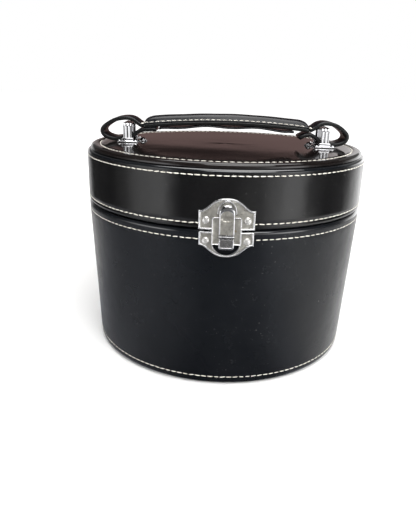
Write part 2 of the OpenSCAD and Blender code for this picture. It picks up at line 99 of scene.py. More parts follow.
# %% [markdown]
# ## Tools for making surfaces
# A grid of points becomes quads between neighbours. Where one side of the grid shrinks to a point
# or two sides meet, the points are merged afterwards, so poles and seams are closed, and then the
# normals are turned outwards.

# %% Grids, and the piece made of them
def grid_quads(rows, columns, round_rows=False, round_columns=False):
    """Corner numbers of the quads of a grid: (i, j), (i+1, j), (i+1, j+1), (i, j+1)."""
    i = np.arange(rows if round_rows else rows - 1)[:, None]
    j = np.arange(columns if round_columns else columns - 1)[None, :]
    after_i, after_j = (i + 1) % rows, (j + 1) % columns
    corners = (i * columns + j, after_i * columns + j, after_i * columns + after_j, i * columns + after_j)
    return np.stack(np.broadcast_arrays(*corners), -1).reshape(-1, 4)


def surface(grid, round_rows=False, round_columns=False):
    """A grid of points (rows, columns, 3) as a list of points and a list of quads."""
    rows, columns = grid.shape[:2]
    return grid.reshape(-1, 3), grid_quads(rows, columns, round_rows, round_columns)


def piece(name, parts, material, body, stands_for=(), rim=None):
    """One object out of several surfaces in mm: merged, turned outwards, and riding on its body. A
    surface may carry a third array that says which of its quads take the rim's material."""
    shifts = np.cumsum([0] + [len(part[0]) for part in parts[:-1]])
    points = np.concatenate([part[0] for part in parts]) * MM
    quads = np.concatenate([part[1] + shift for part, shift in zip(parts, shifts)])
    on_rim = np.concatenate([part[2] if len(part) > 2 else np.zeros(len(part[1]), bool) for part in parts])
    mesh = bpy.data.meshes.new(name)
    mesh.from_pydata(points.tolist(), [], quads.tolist())
    mesh.polygons.foreach_set("material_index", on_rim.astype(np.int32))
    tidy = bmesh.new()
    tidy.from_mesh(mesh)
    bmesh.ops.remove_doubles(tidy, verts=tidy.verts, dist=2e-7)
    bmesh.ops.recalc_face_normals(tidy, faces=tidy.faces)
    tidy.to_mesh(mesh)
    tidy.free()
    mesh.polygons.foreach_set("use_smooth", [True] * len(mesh.polygons))
    made = bpy.data.objects.new(name, mesh)
    bpy.context.scene.collection.objects.link(made)
    made.data.materials.append(material)
    if rim:
        made.data.materials.append(rim)
    if body:
        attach(made, body)
    if stands_for:
        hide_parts(*stands_for)
    return made


print("a grid of 3 by 4 points has", len(grid_quads(3, 4)), "quads")

# %% Lines and arcs
def arc(x, y, radius, start, end, count):
    """Points round (x, y), from one angle to the other, in degrees."""
    turn = np.radians(np.linspace(start, end, count))
    return np.stack([x + radius * np.cos(turn), y + radius * np.sin(turn)], -1)


def line(start, end, count):
    """Points spread evenly from start to end, both kept."""
    return np.linspace(start, end, count)


def spaced(points, gap):
    """The same line with a point about every gap: distance along it is worked out and cut evenly."""
    along = np.concatenate([[0], np.cumsum(np.linalg.norm(np.diff(points, axis=0), axis=1))])
    count = max(2, int(round(along[-1] / gap)) + 1)
    even = np.linspace(0, along[-1], count)
    return np.stack([np.interp(even, along, points[:, k]) for k in range(points.shape[1])], -1)


print("half way round a circle of 1:", arc(0, 0, 1, 0, 180, 3)[-1].round(3).tolist())

# %% Shapes turned round the axis, or carried along a line
def turned(profile, count, wobble=None):
    """A profile (distance from the axis, height) turned round Z: x = r cos a, y = r sin a.
    wobble(angle, profile) adds a small distance outwards along the profile's own normal."""
    angle = np.linspace(0, 2 * np.pi, count, endpoint=False)
    radius = np.broadcast_to(profile[:, 0], (count, len(profile))).copy()
    height = np.broadcast_to(profile[:, 1], (count, len(profile))).copy()
    if wobble:
        step = np.gradient(profile, axis=0)
        normal = np.stack([step[:, 1], -step[:, 0]], -1) / (np.linalg.norm(step, axis=1)[:, None] + 1e-9)
        push = wobble(angle[:, None], profile[None])
        radius += push * normal[:, 0]
        height += push * normal[:, 1]
    return np.stack([radius * np.cos(angle)[:, None], radius * np.sin(angle)[:, None], height], -1)


def unit(vectors):
    """Vectors scaled to length one."""
    return vectors / (np.linalg.norm(vectors, axis=-1, keepdims=True) + 1e-12)


def swept(middle, side, up, section):
    """A closed section (across, up) carried along a line of points, whose own side and up directions
    say how it turns. Past each end three more rings shrink to a point, so the shape is closed."""
    rings = middle[:, None] + section[None, :, :1] * side[:, None] + section[None, :, 1:] * up[:, None]
    first = middle[0] + (rings[:1] - middle[0]) * np.array([0, 0.5, 0.93])[:, None, None]
    last = middle[-1] + (rings[-1:] - middle[-1]) * np.array([0.93, 0.5, 0])[:, None, None]
    forward = unit(middle[1] - middle[0]), unit(middle[-1] - middle[-2])
    round_end = 0.25 * min(np.ptp(section[:, 0]), np.ptp(section[:, 1]))
    first = first - forward[0] * np.array([1, 0.9, 0.45])[:, None, None] * round_end
    last = last + forward[1] * np.array([0.45, 0.9, 1])[:, None, None] * round_end
    return np.concatenate([first, rings, last])


print("a profile of 2 points turned into", turned(line([1, 0], [1, 1], 2), 8).shape[:2], "points")

# %% Soft outlines and smooth steps
def soft_box(width, height, corner, count=6):
    """The outline of a rectangle with round corners, about (0, 0)."""
    x, y = width / 2 - corner, height / 2 - corner
    return np.concatenate([
        arc(x, y, corner, 0, 90, count), arc(-x, y, corner, 90, 180, count),
        arc(-x, -y, corner, 180, 270, count), arc(x, -y, corner, 270, 360, count)])


def hill(distance, width):
    """A smooth bump: one at distance 0, and near nothing past the width."""
    return np.exp(-(distance / width) ** 2)


def step_up(value, start, end):
    """0 before start, 1 after end, and smooth between them."""
    t = np.clip((value - start) / (end - start), 0, 1)
    return t * t * (3 - 2 * t)


print("a soft box has", len(soft_box(2, 1, 0.2)), "points")

# %% [markdown]
# ## Finishes
# Each finish is a small network of nodes on the Principled shader. Colour and roughness vary with
# noise read at Object coordinates, in metres, so a grain of 0.4 mm has a scale of about 2500.
# Anything that is the same all over goes straight into the shader's own socket.

# %% A helper for building node networks
class Finish:
    """A material with a Principled shader, and short ways to add and join nodes."""

    def __init__(self, name):
        self.material = bpy.data.materials.new(name)
        self.material.use_nodes = True
        self.nodes = self.material.node_tree.nodes
        self.links = self.material.node_tree.links
        self.shader = self.nodes["Principled BSDF"]
        self.place = self.nodes.new("ShaderNodeTexCoord").outputs["Object"]

    def set(self, **values):
        for name, value in values.items():
            self.shader.inputs[name.replace("_", " ")].default_value = value

    def noise(self, scale, detail=3, roughness=0.5, stretch=None):
        node = self.nodes.new("ShaderNodeTexNoise")
        node.inputs["Scale"].default_value = scale
        node.inputs["Detail"].default_value = detail
        node.inputs["Roughness"].default_value = roughness
        self.links.new(self.stretched(stretch), node.inputs["Vector"])
        return node.outputs["Fac"]

    def stretched(self, stretch):
        if stretch is None:
            return self.place
        node = self.nodes.new("ShaderNodeMapping")
        node.inputs["Scale"].default_value = stretch
        self.links.new(self.place, node.inputs["Vector"])
        return node.outputs["Vector"]

    def cells(self, scale):
        node = self.nodes.new("ShaderNodeTexVoronoi")
        node.inputs["Scale"].default_value = scale
        self.links.new(self.place, node.inputs["Vector"])
        return node.outputs["Distance"]

    def spread(self, value, low, high, to_low, to_high):
        """The range low to high of a pattern, stretched to another range."""
        node = self.nodes.new("ShaderNodeMapRange")
        node.inputs["From Min"].default_value = low
        node.inputs["From Max"].default_value = high
        node.inputs["To Min"].default_value = to_low
        node.inputs["To Max"].default_value = to_high
        self.links.new(value, node.inputs["Value"])
        return node.outputs["Result"]

    def combine(self, how, first, second):
        node = self.nodes.new("ShaderNodeMath")
        node.operation = how
        for value, socket in ((first, node.inputs[0]), (second, node.inputs[1])):
            if isinstance(value, (int, float)):
                socket.default_value = value
            else:
                self.links.new(value, socket)
        return node.outputs[0]

    def colours(self, value, *stops):
        """A pattern turned into colours: each stop is (position, colour)."""
        ramp = self.nodes.new("ShaderNodeValToRGB")
        ramp.color_ramp.elements[0].position = stops[0][0]
        ramp.color_ramp.elements[0].color = (*stops[0][1], 1)
        ramp.color_ramp.elements[1].position = stops[-1][0]
        ramp.color_ramp.elements[1].color = (*stops[-1][1], 1)
        for position, colour in stops[1:-1]:
            ramp.color_ramp.elements.new(position).color = (*colour, 1)
        self.links.new(value, ramp.inputs["Fac"])
        return ramp.outputs["Color"]

    def feed(self, value, name):
        self.links.new(value, self.shader.inputs[name])

    def relief(self, value, depth, before=None):
        """Bump from a pattern, depth in metres, on top of another bump if there is one."""
        node = self.nodes.new("ShaderNodeBump")
        node.inputs["Distance"].default_value = depth
        self.links.new(value, node.inputs["Height"])
        if before:
            self.links.new(before, node.inputs["Normal"])
        self.links.new(node.outputs["Normal"], self.shader.inputs["Normal"])
        return node.outputs["Normal"]


print("finish helper ready")

# %% [markdown]
# ### Leatherette
# Coated cloth has a very fine pebble, a slow unevenness from the board below, and a top coat whose
# gloss varies where hands have rubbed it. A few pale specks are scuffs. The lid is glossier than
# the base, and its top is a warmer black.

# %% Leatherette
def leatherette(name, dark, light, gloss, coat, pebble, wave, scuff=0.55, shine=0.5, edge=None):
    """dark and light are the two ends of the colour, gloss the range of roughness, coat the top
    coat's weight, and pebble and wave the depths in metres of the fine and the slow relief. With an
    edge (from, to, colour), a strap's side edges get a lighter colour, a painted highlight: |y| tells
    how near they are."""
    f = Finish(name)
    slow = f.noise(22, 4, 0.6)
    rubbed = f.noise(110, 5, 0.65)
    specks = f.spread(f.noise(900, 2, 0.4), 0.72, 0.79, 0, scuff)
    tone = f.combine("ADD", f.spread(slow, 0.3, 0.7, 0, 0.5), f.combine("MULTIPLY", specks, 1.0))
    colour = f.colours(tone, (0, dark), (0.5, light), (1, (0.16, 0.155, 0.15)))
    # painted highlight: the strap's side edges are mixed towards a lighter colour
    if edge:
        parts = f.nodes.new("ShaderNodeSeparateXYZ")
        f.links.new(f.place, parts.inputs[0])
        near = f.spread(f.combine("ABSOLUTE", parts.outputs["Y"], 0.0), edge[0], edge[1], 0, 1)
        edge_highlight_mix = f.nodes.new("ShaderNodeMix")
        edge_highlight_mix.data_type = "RGBA"
        f.links.new(near, edge_highlight_mix.inputs["Factor"])
        f.links.new(colour, edge_highlight_mix.inputs[6])
        edge_highlight_mix.inputs[7].default_value = (*edge[2], 1)
        colour = edge_highlight_mix.outputs[2]
    f.feed(colour, "Base Color")
    haze = f.combine("MULTIPLY", f.spread(rubbed, 0.35, 0.72, 0, 1), f.spread(slow, 0.35, 0.65, 0.5, 1))
    f.feed(f.spread(haze, 0, 1, *gloss), "Roughness")
    f.set(Coat_Weight=coat, Coat_Roughness=0.06, Specular_IOR_Level=shine)
    bump = f.relief(f.noise(38, 2, 0.5), wave)
    bump = f.relief(f.cells(1500), pebble, bump)
    f.relief(f.noise(5200, 2, 0.5), pebble * 0.4, bump)
    return f.material


base_skin = leatherette("base_leatherette", (0.0035, 0.0045, 0.006), (0.007, 0.008, 0.010),
                        (0.17, 0.32), 0.0, 0.000025, 0.0005, shine=0.2)
rim_skin = leatherette("rim_leatherette", (0.0035, 0.0045, 0.006), (0.007, 0.008, 0.010),
                       (0.06, 0.13), 1.0, 0.000012, 0.0003, shine=0.7)
lid_skin = leatherette("lid_leatherette", (0.0035, 0.0035, 0.004), (0.007, 0.007, 0.007),
                       (0.08, 0.22), 0.1, 0.000018, 0.0005, shine=0.3)
top_skin = leatherette("lid_top_leatherette", (0.0062, 0.0045, 0.0042), (0.0105, 0.0082, 0.0078),
                       (0.02, 0.07), 0.25, 0.000005, 0.00008, scuff=0.7)
handle_skin = leatherette("handle_leatherette", (0.005, 0.0055, 0.007), (0.011, 0.0115, 0.014),
                          (0.12, 0.26), 0.12, 0.00003, 0.0003, shine=0.34)
# painted highlight: the strap's side edges, from 9.6 to 10.2 mm off its middle, get a lighter colour
strap_skin = leatherette("strap_leatherette", (0.004, 0.0045, 0.006), (0.009, 0.0095, 0.012),
                         (0.14, 0.28), 0.05, 0.00003, 0.0002, shine=0.3,
                         edge=(0.0096, 0.0102, (0.012, 0.0125, 0.0125)))
under_skin = leatherette("bottom_leatherette", (0.016, 0.016, 0.017), (0.03, 0.03, 0.031),
                         (0.5, 0.72), 0.0, 0.00006, 0.0008)
print("leatherette in seven glosses")

# %% [markdown]
# ### Thread, chrome, board and lining
# The thread is waxed and cream, with a fine twist. The plated parts are bright on their edges and
# brushed satin on their flats, with a touch of yellow tarnish; on the latch plates the bright rims are
# a whiter, rougher copy of the plating, partly the polish of a pressed edge and partly a painted
# highlight. The board and the flock only show when the lid is open.

# %% Thread
def thread(name, dark, light):
    """Twisted yarn: fine slanted fibres in the relief, and a little dirt in the colour."""
    f = Finish(name)
    f.feed(f.colours(f.noise(160, 3), (0.3, dark), (0.65, light)), "Base Color")
    f.feed(f.spread(f.noise(2200, 2), 0.3, 0.7, 0.5, 0.75), "Roughness")
    f.set(Sheen_Weight=0.25, Sheen_Roughness=0.5)
    f.relief(f.noise(4200, 2, 0.5, (1, 1, 2.5)), 0.00012)
    return f.material


cream_thread = thread("cream_thread", (0.66, 0.62, 0.53), (0.88, 0.85, 0.77))
black_thread = thread("black_thread", (0.012, 0.012, 0.013), (0.03, 0.03, 0.032))
print("threads:", cream_thread.name, black_thread.name)

# %% Plated metal
def plated(name, colour, gloss, brushed, tarnish=0.0, solid=1.0, cloudy=0.88):
    """Chrome on brass: gloss is the range of roughness, brushed the depth of the fine scratches, and
    solid how much of it mirrors; the rest is the pale bloom of a satin plating. cloudy is how dark
    the colour gets in its smoky patches, as a share of the clean colour."""
    f = Finish(name)
    smoky = f.noise(260, 4, 0.6)
    spots = f.spread(f.noise(300, 2, 0.5), 0.70, 0.80, 0, tarnish)
    aged = f.combine("ADD", f.spread(smoky, 0.3, 0.7, 0, 0.25), spots)
    worn = tuple(v * cloudy for v in colour)
    f.feed(f.colours(aged, (0.04, colour), (0.23, worn), (1, (0.42, 0.31, 0.14))), "Base Color")
    f.feed(f.spread(f.noise(700, 4, 0.7), 0.3, 0.7, *gloss), "Roughness")
    f.set(Metallic=solid)
    f.relief(f.noise(1500, 4, 0.7, (1, 1, 5)), brushed)
    return f.material


chrome_bright = plated("chrome_bright", (0.88, 0.88, 0.90), (0.05, 0.12), 0.000002)
chrome_satin = plated("chrome_satin", (0.56, 0.54, 0.49), (0.24, 0.4), 0.000014, tarnish=0.85, solid=0.75,
                      cloudy=0.62)
# painted shade: a darkened copy of the plating for the flat of the latch's tab
tab_shaded_plating = plated("tab_shaded_plating", (0.25, 0.245, 0.245), (0.22, 0.34), 0.000008, solid=0.8)
# painted shade: a dark steel for the hasp's neck, so that the slit under the hasp's lower edge reads dark
neck_shade_steel = plated("neck_shade_steel", (0.10, 0.10, 0.105), (0.3, 0.45), 0.00001, solid=0.6)
# painted highlight, partly real polish: a whiter, rougher plating that makes the latch's rims read bright
# from every side
rim_chrome_highlight = plated("rim_chrome_highlight", (0.93, 0.93, 0.94), (0.16, 0.26), 0.000004, solid=0.9)
pin_steel = plated("pin_steel", (0.5, 0.5, 0.51), (0.2, 0.34), 0.00001)
print("finishes with the plated ones:", len(bpy.data.materials))

# %% Board, flock and foam
def matt(name, dark, light, scale, grain, depth, sheen=0.0):
    """A dull material: two colours mixed by noise at a scale, and a relief of the given depth."""
    f = Finish(name)
    f.feed(f.colours(f.noise(scale, 5, 0.6), (0.3, dark), (0.7, light)), "Base Color")
    f.feed(f.spread(f.noise(scale * 2, 3), 0.3, 0.7, 0.75, 0.95), "Roughness")
    f.set(Sheen_Weight=sheen, Sheen_Roughness=0.4)
    f.relief(f.noise(grain, 3, 0.6), depth)
    return f.material


board = matt("fibreboard", (0.36, 0.26, 0.16), (0.55, 0.42, 0.28), 90, 1400, 0.0001)
flock = matt("flock_lining", (0.022, 0.022, 0.025), (0.045, 0.045, 0.05), 60, 3800, 0.0002, 0.6)
foam = matt("foam", (0.2, 0.2, 0.21), (0.3, 0.3, 0.31), 400, 1800, 0.0003)
print("finishes:", len(bpy.data.materials))

# %% [markdown]
# ## Camera, floor and light
# The camera stands 43 cm in front of the case and 21 cm up, and looks down a little. The light is
# soft and comes from two large panels. The backdrop is white where it is seen, and a dim room where
# it only lights and reflects. Three things on the stage are seen by reflections alone: a tall ring
# that gives the lid its bright and dark bands, a flat ring on the floor that is dark in front, so
# that the drum stays dark, and a pale rectangle in the place of the front panel.

# %% Camera
camera_place = np.array([0.0, -426.67, 209.47])
camera_down = 0.3381
camera_roll = 0.0287
camera_yaw = -0.0272
case_turn = math.radians(-1.4)
lens_mm, sensor_mm = 35.514694, 36


def turned_about_z(vector, angle):
    """x' = x cos a - y sin a, y' = x sin a + y cos a, and the height stays."""
    x, y, z = vector
    return np.array([x * math.cos(angle) - y * math.sin(angle), x * math.sin(angle) + y * math.cos(angle), z])


def camera_axes(yaw, down, roll):
    """Right, up and backward directions of a camera turned by yaw, tilted down and rolled."""
    right = np.array([math.cos(yaw), -math.sin(yaw), 0])
    ahead = np.array([math.sin(yaw) * math.cos(down), math.cos(yaw) * math.cos(down), -math.sin(down)])
    up = np.cross(right, ahead)
    rolled_right = right * math.cos(roll) + up * math.sin(roll)
    rolled_up = up * math.cos(roll) - right * math.sin(roll)
    return rolled_right, rolled_up, -ahead


camera_data = bpy.data.cameras.new("camera")
camera_data.sensor_width = sensor_mm
camera_data.lens = lens_mm
camera_data.clip_start, camera_data.clip_end = 0.02, 30
camera = bpy.data.objects.new("camera", camera_data)
axes = [turned_about_z(axis, case_turn) for axis in camera_axes(camera_yaw, camera_down, camera_roll)]
camera_at = turned_about_z(camera_place, case_turn) * MM
camera.matrix_world = Matrix([
    [*row, place] for row, place in zip(np.stack(axes, 1).tolist(), camera_at)] + [[0, 0, 0, 1]])
bpy.context.scene.collection.objects.link(camera)
bpy.context.scene.camera = camera
print("camera at", [round(v, 3) for v in camera.matrix_world.translation])

# %% Floor
floor_finish = Finish("pale_floor")
floor_finish.set(Base_Color=(0.93, 0.93, 0.93, 1), Roughness=0.95, Specular_IOR_Level=0.1,
                 Emission_Color=(1, 1, 1, 1))
# painted light: the floor glows, at strength 0.1 within 0.2 m of the middle and rising to 1.0 at 0.9 m, so
# that it turns white away from the case
glow_distance = floor_finish.nodes.new("ShaderNodeVectorMath")
glow_distance.operation = "LENGTH"
floor_finish.links.new(floor_finish.place, glow_distance.inputs[0])
floor_finish.feed(floor_finish.spread(glow_distance.outputs["Value"], 0.2, 0.9, 0.1, 1.0), "Emission Strength")


def staged(name, points, quads, material, hidden_from):
    """A stage piece, which isn't part of the object and may be hidden from some kinds of ray."""
    mesh = bpy.data.meshes.new(name)
    mesh.from_pydata(points, [], quads)
    mesh.materials.append(material)
    made = bpy.data.objects.new(name, mesh)
    bpy.context.scene.collection.objects.link(made)
    for kind in hidden_from:
        setattr(made, "visible_" + kind, False)
    return made


staged("floor", [(-6, -6, 0), (6, -6, 0), (6, 6, 0), (-6, 6, 0)], [(0, 1, 2, 3)], floor_finish.material, ())
print("floor on the stage")

# %% The floor as reflections see it
only_mirrored = ("camera", "diffuse", "shadow", "transmission", "volume_scatter")


def by_direction(finish, bands):
    """A colour that goes by the direction from the case, atan2(x, -y), in degrees from the front."""
    parts = finish.nodes.new("ShaderNodeSeparateXYZ")
    finish.links.new(finish.place, parts.inputs[0])
    ahead = finish.combine("MULTIPLY", parts.outputs["Y"], -1.0)
    around = finish.combine("ARCTAN2", parts.outputs["X"], ahead)
    share = finish.spread(around, -math.pi, math.pi, 0, 1)
    stops = [((angle + 180) / 360, tuple(level * v for v in tint)) for angle, level, tint in bands]
    return finish.colours(share, *stops), parts


def ring_points(radius, height):
    """96 points round the case at one radius and one height, in metres."""
    turn = np.linspace(0, 2 * np.pi, 96, endpoint=False)
    return np.stack([np.cos(turn) * radius, np.sin(turn) * radius, np.full(96, height)], -1)


just_above_floor = 0.0004


def mirrored_floor(inner, outer):
    """The floor as reflections see it: dark in front, dim on the left and pale on the right."""
    f = Finish("mirrored_floor")
    cool, grey = (0.96, 0.98, 1.05), (1, 1, 1)
    colour, _ = by_direction(f, [
        (-180, 0.55, grey), (-118, 0.5, grey), (-100, 0.36, cool), (-70, 0.35, cool), (-48, 0.5, cool),
        (-27, 0.34, cool), (-12, 0.08, cool), (10, 0.06, cool), (22, 0.15, cool), (34, 0.56, cool),
        (52, 0.8, grey), (100, 0.7, grey), (140, 0.62, grey), (180, 0.55, grey)])
    f.feed(colour, "Base Color")
    f.feed(colour, "Emission Color")
    away = f.nodes.new("ShaderNodeVectorMath")
    away.operation = "LENGTH"
    f.links.new(f.place, away.inputs[0])
    f.feed(f.spread(away.outputs["Value"], 0.2, 0.9, 0.2, 1.0), "Emission Strength")
    f.set(Roughness=0.95, Specular_IOR_Level=0.1)
    rings = np.stack([ring_points(outer, just_above_floor), ring_points(inner, just_above_floor)])
    points, quads = surface(rings, round_columns=True)
    staged("mirrored_floor", points.tolist(), quads.tolist(), f.material, only_mirrored)


mirrored_floor(0.1, 0.5)
print("mirrored floor on the stage")

# %% World and lights
world = bpy.data.worlds.new("room")
bpy.context.scene.world = world
world.use_nodes = True
room = world.node_tree
backdrop = room.nodes["Background"]
backdrop.inputs["Color"].default_value = (1, 1, 1, 1)
backdrop.inputs["Strength"].default_value = 1.0
walls = room.nodes.new("ShaderNodeBackground")
walls.inputs["Color"].default_value = (1.0, 0.97, 0.95, 1)
walls.inputs["Strength"].default_value = 0.06
seen = room.nodes.new("ShaderNodeLightPath")
choice = room.nodes.new("ShaderNodeMixShader")
room.links.new(seen.outputs["Is Camera Ray"], choice.inputs["Fac"])
room.links.new(walls.outputs[0], choice.inputs[1])
room.links.new(backdrop.outputs[0], choice.inputs[2])
room.links.new(choice.outputs[0], room.nodes["World Output"].inputs["Surface"])


def panel(name, place, aim, size, power, colour):
    """A rectangular area light at a place in metres, facing a point, unseen by the camera."""
    data = bpy.data.lights.new(name, "AREA")
    data.shape = "RECTANGLE"
    data.size, data.size_y = size
    data.energy = power
    data.color = colour
    light = bpy.data.objects.new(name, data)
    back = unit(np.array(place, float) - np.array(aim, float))
    right = unit(np.cross((0.0, 0.0, 1.0), back))
    up = np.cross(back, right)
    light.matrix_world = Matrix([
        [*row, p] for row, p in zip(np.stack([right, up, back], 1).tolist(), place)] + [[0, 0, 0, 1]])
    light.visible_camera = False
    bpy.context.scene.collection.objects.link(light)
    return light


panel("top_softbox", (0.1, 0.1, 1.6), (0, 0, 0.1), (1.6, 1.4), 22, (1, 0.99, 0.98))
front_size = (1.3, 0.9)
front_light = panel("front_softbox", (0.25, -1.1, 1.15), (0, 0, 0.1), front_size, 30, (1, 1, 1))
front_light.visible_glossy = False


def window(name, light, size, strength):
    """What reflections see where a softbox hangs: the same rectangle, with a brightness of its own."""
    frame_of_light = np.array(light.matrix_world)
    corners = np.array([[-1, -1], [1, -1], [1, 1], [-1, 1]]) * np.array(size) / 2
    points = frame_of_light[:3, 3] + corners @ frame_of_light[:3, :2].T
    f = Finish(name)
    f.set(Base_Color=(0, 0, 0, 1), Specular_IOR_Level=0.0, Emission_Color=(1, 1, 1, 1),
          Emission_Strength=strength)
    staged(name, points.tolist(), [(0, 1, 2, 3)], f.material, only_mirrored)


window("front_window", front_light, front_size, 4.2)
print("front panel at", [round(v, 2) for v in front_light.matrix_world.translation])

# %% A ring that only reflections see
def reflection_ring(radius, height):
    """A tall ring round the case, seen by nothing but mirror-like surfaces: bright and dark bands,
    as a room's windows make."""
    rings = np.stack([ring_points(radius, 0), ring_points(radius, height)])
    points, quads = surface(rings, round_columns=True)
    f = Finish("reflection_ring")
    pink, grey = (1.0, 0.66, 0.62), (1.0, 1.0, 1.0)
    colour, parts = by_direction(f, [
        (-180, 0.0625, pink), (-160, 0.07, pink), (-146, 0.3, grey), (-136, 0.2, grey), (-126, 0.02, grey),
        (-90, 0.02, grey), (-76, 0.12, grey), (-64, 0.5, grey), (-44, 0.75, grey), (-37, 0.3, grey),
        (-31, 0.03, grey), (5, 0.05, grey), (24, 0.22, grey), (34, 0.6, grey), (44, 1.0, grey),
        (54, 0.85, grey), (62, 0.15, grey), (76, 0.03, grey), (98, 0.05, grey), (114, 0.45, grey),
        (130, 0.6, grey), (148, 0.4, grey), (162, 0.07, pink), (180, 0.0625, pink)])
    f.feed(colour, "Emission Color")
    f.set(Base_Color=(0, 0, 0, 1), Specular_IOR_Level=0.0)
    tilt = f.combine("MULTIPLY", parts.outputs["X"], -0.03)
    f.feed(f.spread(f.combine("ADD", parts.outputs["Z"], tilt), 0.220, 0.236, 2.8, 0.36), "Emission Strength")
    staged("reflection_ring", points.tolist(), quads.tolist(), f.material, only_mirrored)


reflection_ring(0.5, 0.45)
bpy.context.scene.view_settings.view_transform = "Standard"

# %% [markdown]
# ## The covered drum
# The covers are profiles turned round the axis. The base narrows downwards, so its profile runs from
# the turned-under edge at the bottom, round the foot, up the leaning wall and over the rim. A slow
# wobble of a few hundredths of a millimetre bends the reflections as board under cloth does.

# %% Where the board under the skin is not quite round
def board_wobble(seed, size):
    """Sums five sines of the angle, each with its own count and phase, and a phase that shifts slowly with
    height.
    """
    dice = np.random.default_rng(seed)
    counts, phases = dice.integers(3, 15, 5), dice.uniform(0, 2 * np.pi, 5)
    tilts = dice.uniform(-0.05, 0.05, 5)

    def wobble(angle, profile):
        height = profile[..., 1]
        waves = [np.sin(n * angle + p + tilt * height) / n for n, p, tilt in zip(counts, phases, tilts)]
        return size * np.sum(waves, axis=0)
    return wobble


def base_r(z):
    """Radius of the base at a height: it narrows evenly from the rim to the ground."""
    return case_r + (foot_r - case_r) * (rim_z - z) / rim_z


print("base radius half way up:", round(base_r(rim_z / 2), 1))

# %% Seam and rims of the base
foot_round = 4.5
foot_wall_z = foot_z + foot_round
foot_edge_r = base_r(foot_wall_z) - foot_round
turn_under = foot_edge_r - 8
rim_low_z = rim_z - rim_round
lean = (case_r - base_r(foot_wall_z)) / (rim_low_z - foot_wall_z)
turn_in = 9.0
inner_r = case_r - wall_t
wall = line([base_r(foot_wall_z), foot_wall_z], [case_r, rim_low_z], 60)
base_row_z = (7.0, 112.0)
lid_row_z = (122.6, 153.5)
dips = np.zeros(len(wall))
for dip_z in base_row_z:
    dips += 0.16 * hill(wall[:, 1] - dip_z, 1.3)
wall[:, 0] -= dips
base_profile = np.concatenate([
    [[turn_under, foot_z + skin_t], [turn_under, foot_z + 0.1], [turn_under + 0.5, foot_z]],
    line([turn_under + 2, foot_z], [foot_edge_r - 0.6, foot_z], 3),
    arc(foot_edge_r, foot_wall_z, foot_round, -90, 0, 10)[1:-1],
    wall,
    arc(case_r - rim_round, rim_low_z, rim_round, 0, 180, 14)[1:-1],
    line([inner_r, rim_low_z], [inner_r - lean * turn_in, rim_low_z - turn_in], 6),
    line([inner_r + skin_t - lean * turn_in, rim_low_z - turn_in], [inner_r + skin_t, rim_low_z], 3),
    arc(case_r - rim_round, rim_low_z, rim_round - skin_t, 180, 0, 8)[1:-1],
    line([case_r - skin_t, rim_low_z], [base_r(foot_wall_z) - skin_t, foot_wall_z], 4),
    arc(foot_edge_r, foot_wall_z, foot_round - skin_t, 0, -90, 6)[1:-1],
])
base_points, base_quads = surface(turned(base_profile, 288, board_wobble(3, 0.12)), True, True)
on_base_rim = (base_profile[:, 1] > rim_low_z - 0.1)[base_quads[:, 0] % len(base_profile)]
base_cover = piece("base_cover", [(base_points, base_quads, on_base_rim)], base_skin, "base", ["base_wrap"],
                   rim_skin)
print("base cover faces", len(base_cover.data.polygons))

# %% Side of the lid
lid_wall_z = lid_low_z + rim_round
bead_round = 2.2
bead_z = band_top_z - bead_round
lid_wall = line([case_r, lid_wall_z], [case_r, bead_z - 0.4], 34)
for dip_z in lid_row_z:
    lid_wall[:, 0] -= 0.2 * hill(lid_wall[:, 1] - dip_z, 1.2)
lid_profile = np.concatenate([
    line([case_r - bead_round - 8, band_top_z - skin_t], [inner_r + 4, band_top_z - skin_t], 2),
    arc(case_r - bead_round, bead_z, bead_round - skin_t, 90, 0, 6),
    line([case_r - skin_t, bead_z - 1], [case_r - skin_t, lid_wall_z + 1], 2),
    arc(case_r - rim_round, lid_wall_z, rim_round - skin_t, 0, -180, 8),
    line([inner_r + skin_t, lid_wall_z + 1], [inner_r + skin_t, lid_wall_z + turn_in], 2),
    line([inner_r, lid_wall_z + turn_in], [inner_r, lid_wall_z + 0.2], 5),
    arc(case_r - rim_round, lid_wall_z, rim_round, -180, 0, 14)[1:-1],
    lid_wall,
    arc(case_r - bead_round, bead_z, bead_round, 0, 90, 10)[1:],
    line([case_r - bead_round - 1, band_top_z], [case_r - bead_round - 8, band_top_z], 4),
])
lid_points, lid_quads = surface(turned(lid_profile, 288, board_wobble(5, 0.16)), True, True)
on_bead = (lid_profile[:, 1] > bead_z - 0.1)[lid_quads[:, 0] % len(lid_profile)]
lid_cover = piece("lid_cover", [(lid_points, lid_quads, on_bead)], lid_skin, "lid", ["lid_side_wrap"],
                  rim_skin)
print("lid cover faces", len(lid_cover.data.polygons))

# %% [markdown]
# ## The padded top of the lid
# A thin foam lies under the leatherette. The row of stitches lies in a shallow groove, and the top
# inside it has slow low waves. The edge rolls over and down to the band of the lid's side.

# %% Padded top panel
stitch_top_r = 100.0
panel_round = 2.6


def top_height(radius, angle):
    """Height of the top: a groove at the stitch row, slow waves, and a shallow dip from 30 mm out that
    deepens and eases three times round.
    """
    groove = -0.3 * hill(radius - stitch_top_r, 1.6)
    waves = 0.05 * np.sin(radius * 0.09 + 1.2) * np.cos(2 * angle + 0.4)
    waves += 0.035 * np.sin(radius * 0.05 * np.cos(angle) + 2.0 * np.sin(angle))
    worn = -0.16 * step_up(radius, 30, 85) * (0.5 + 0.5 * np.sin(3 * angle + radius * 0.03))
    return groove + (waves + worn) * step_up(panel_r - 3 - radius, 0, 12) - 0.05


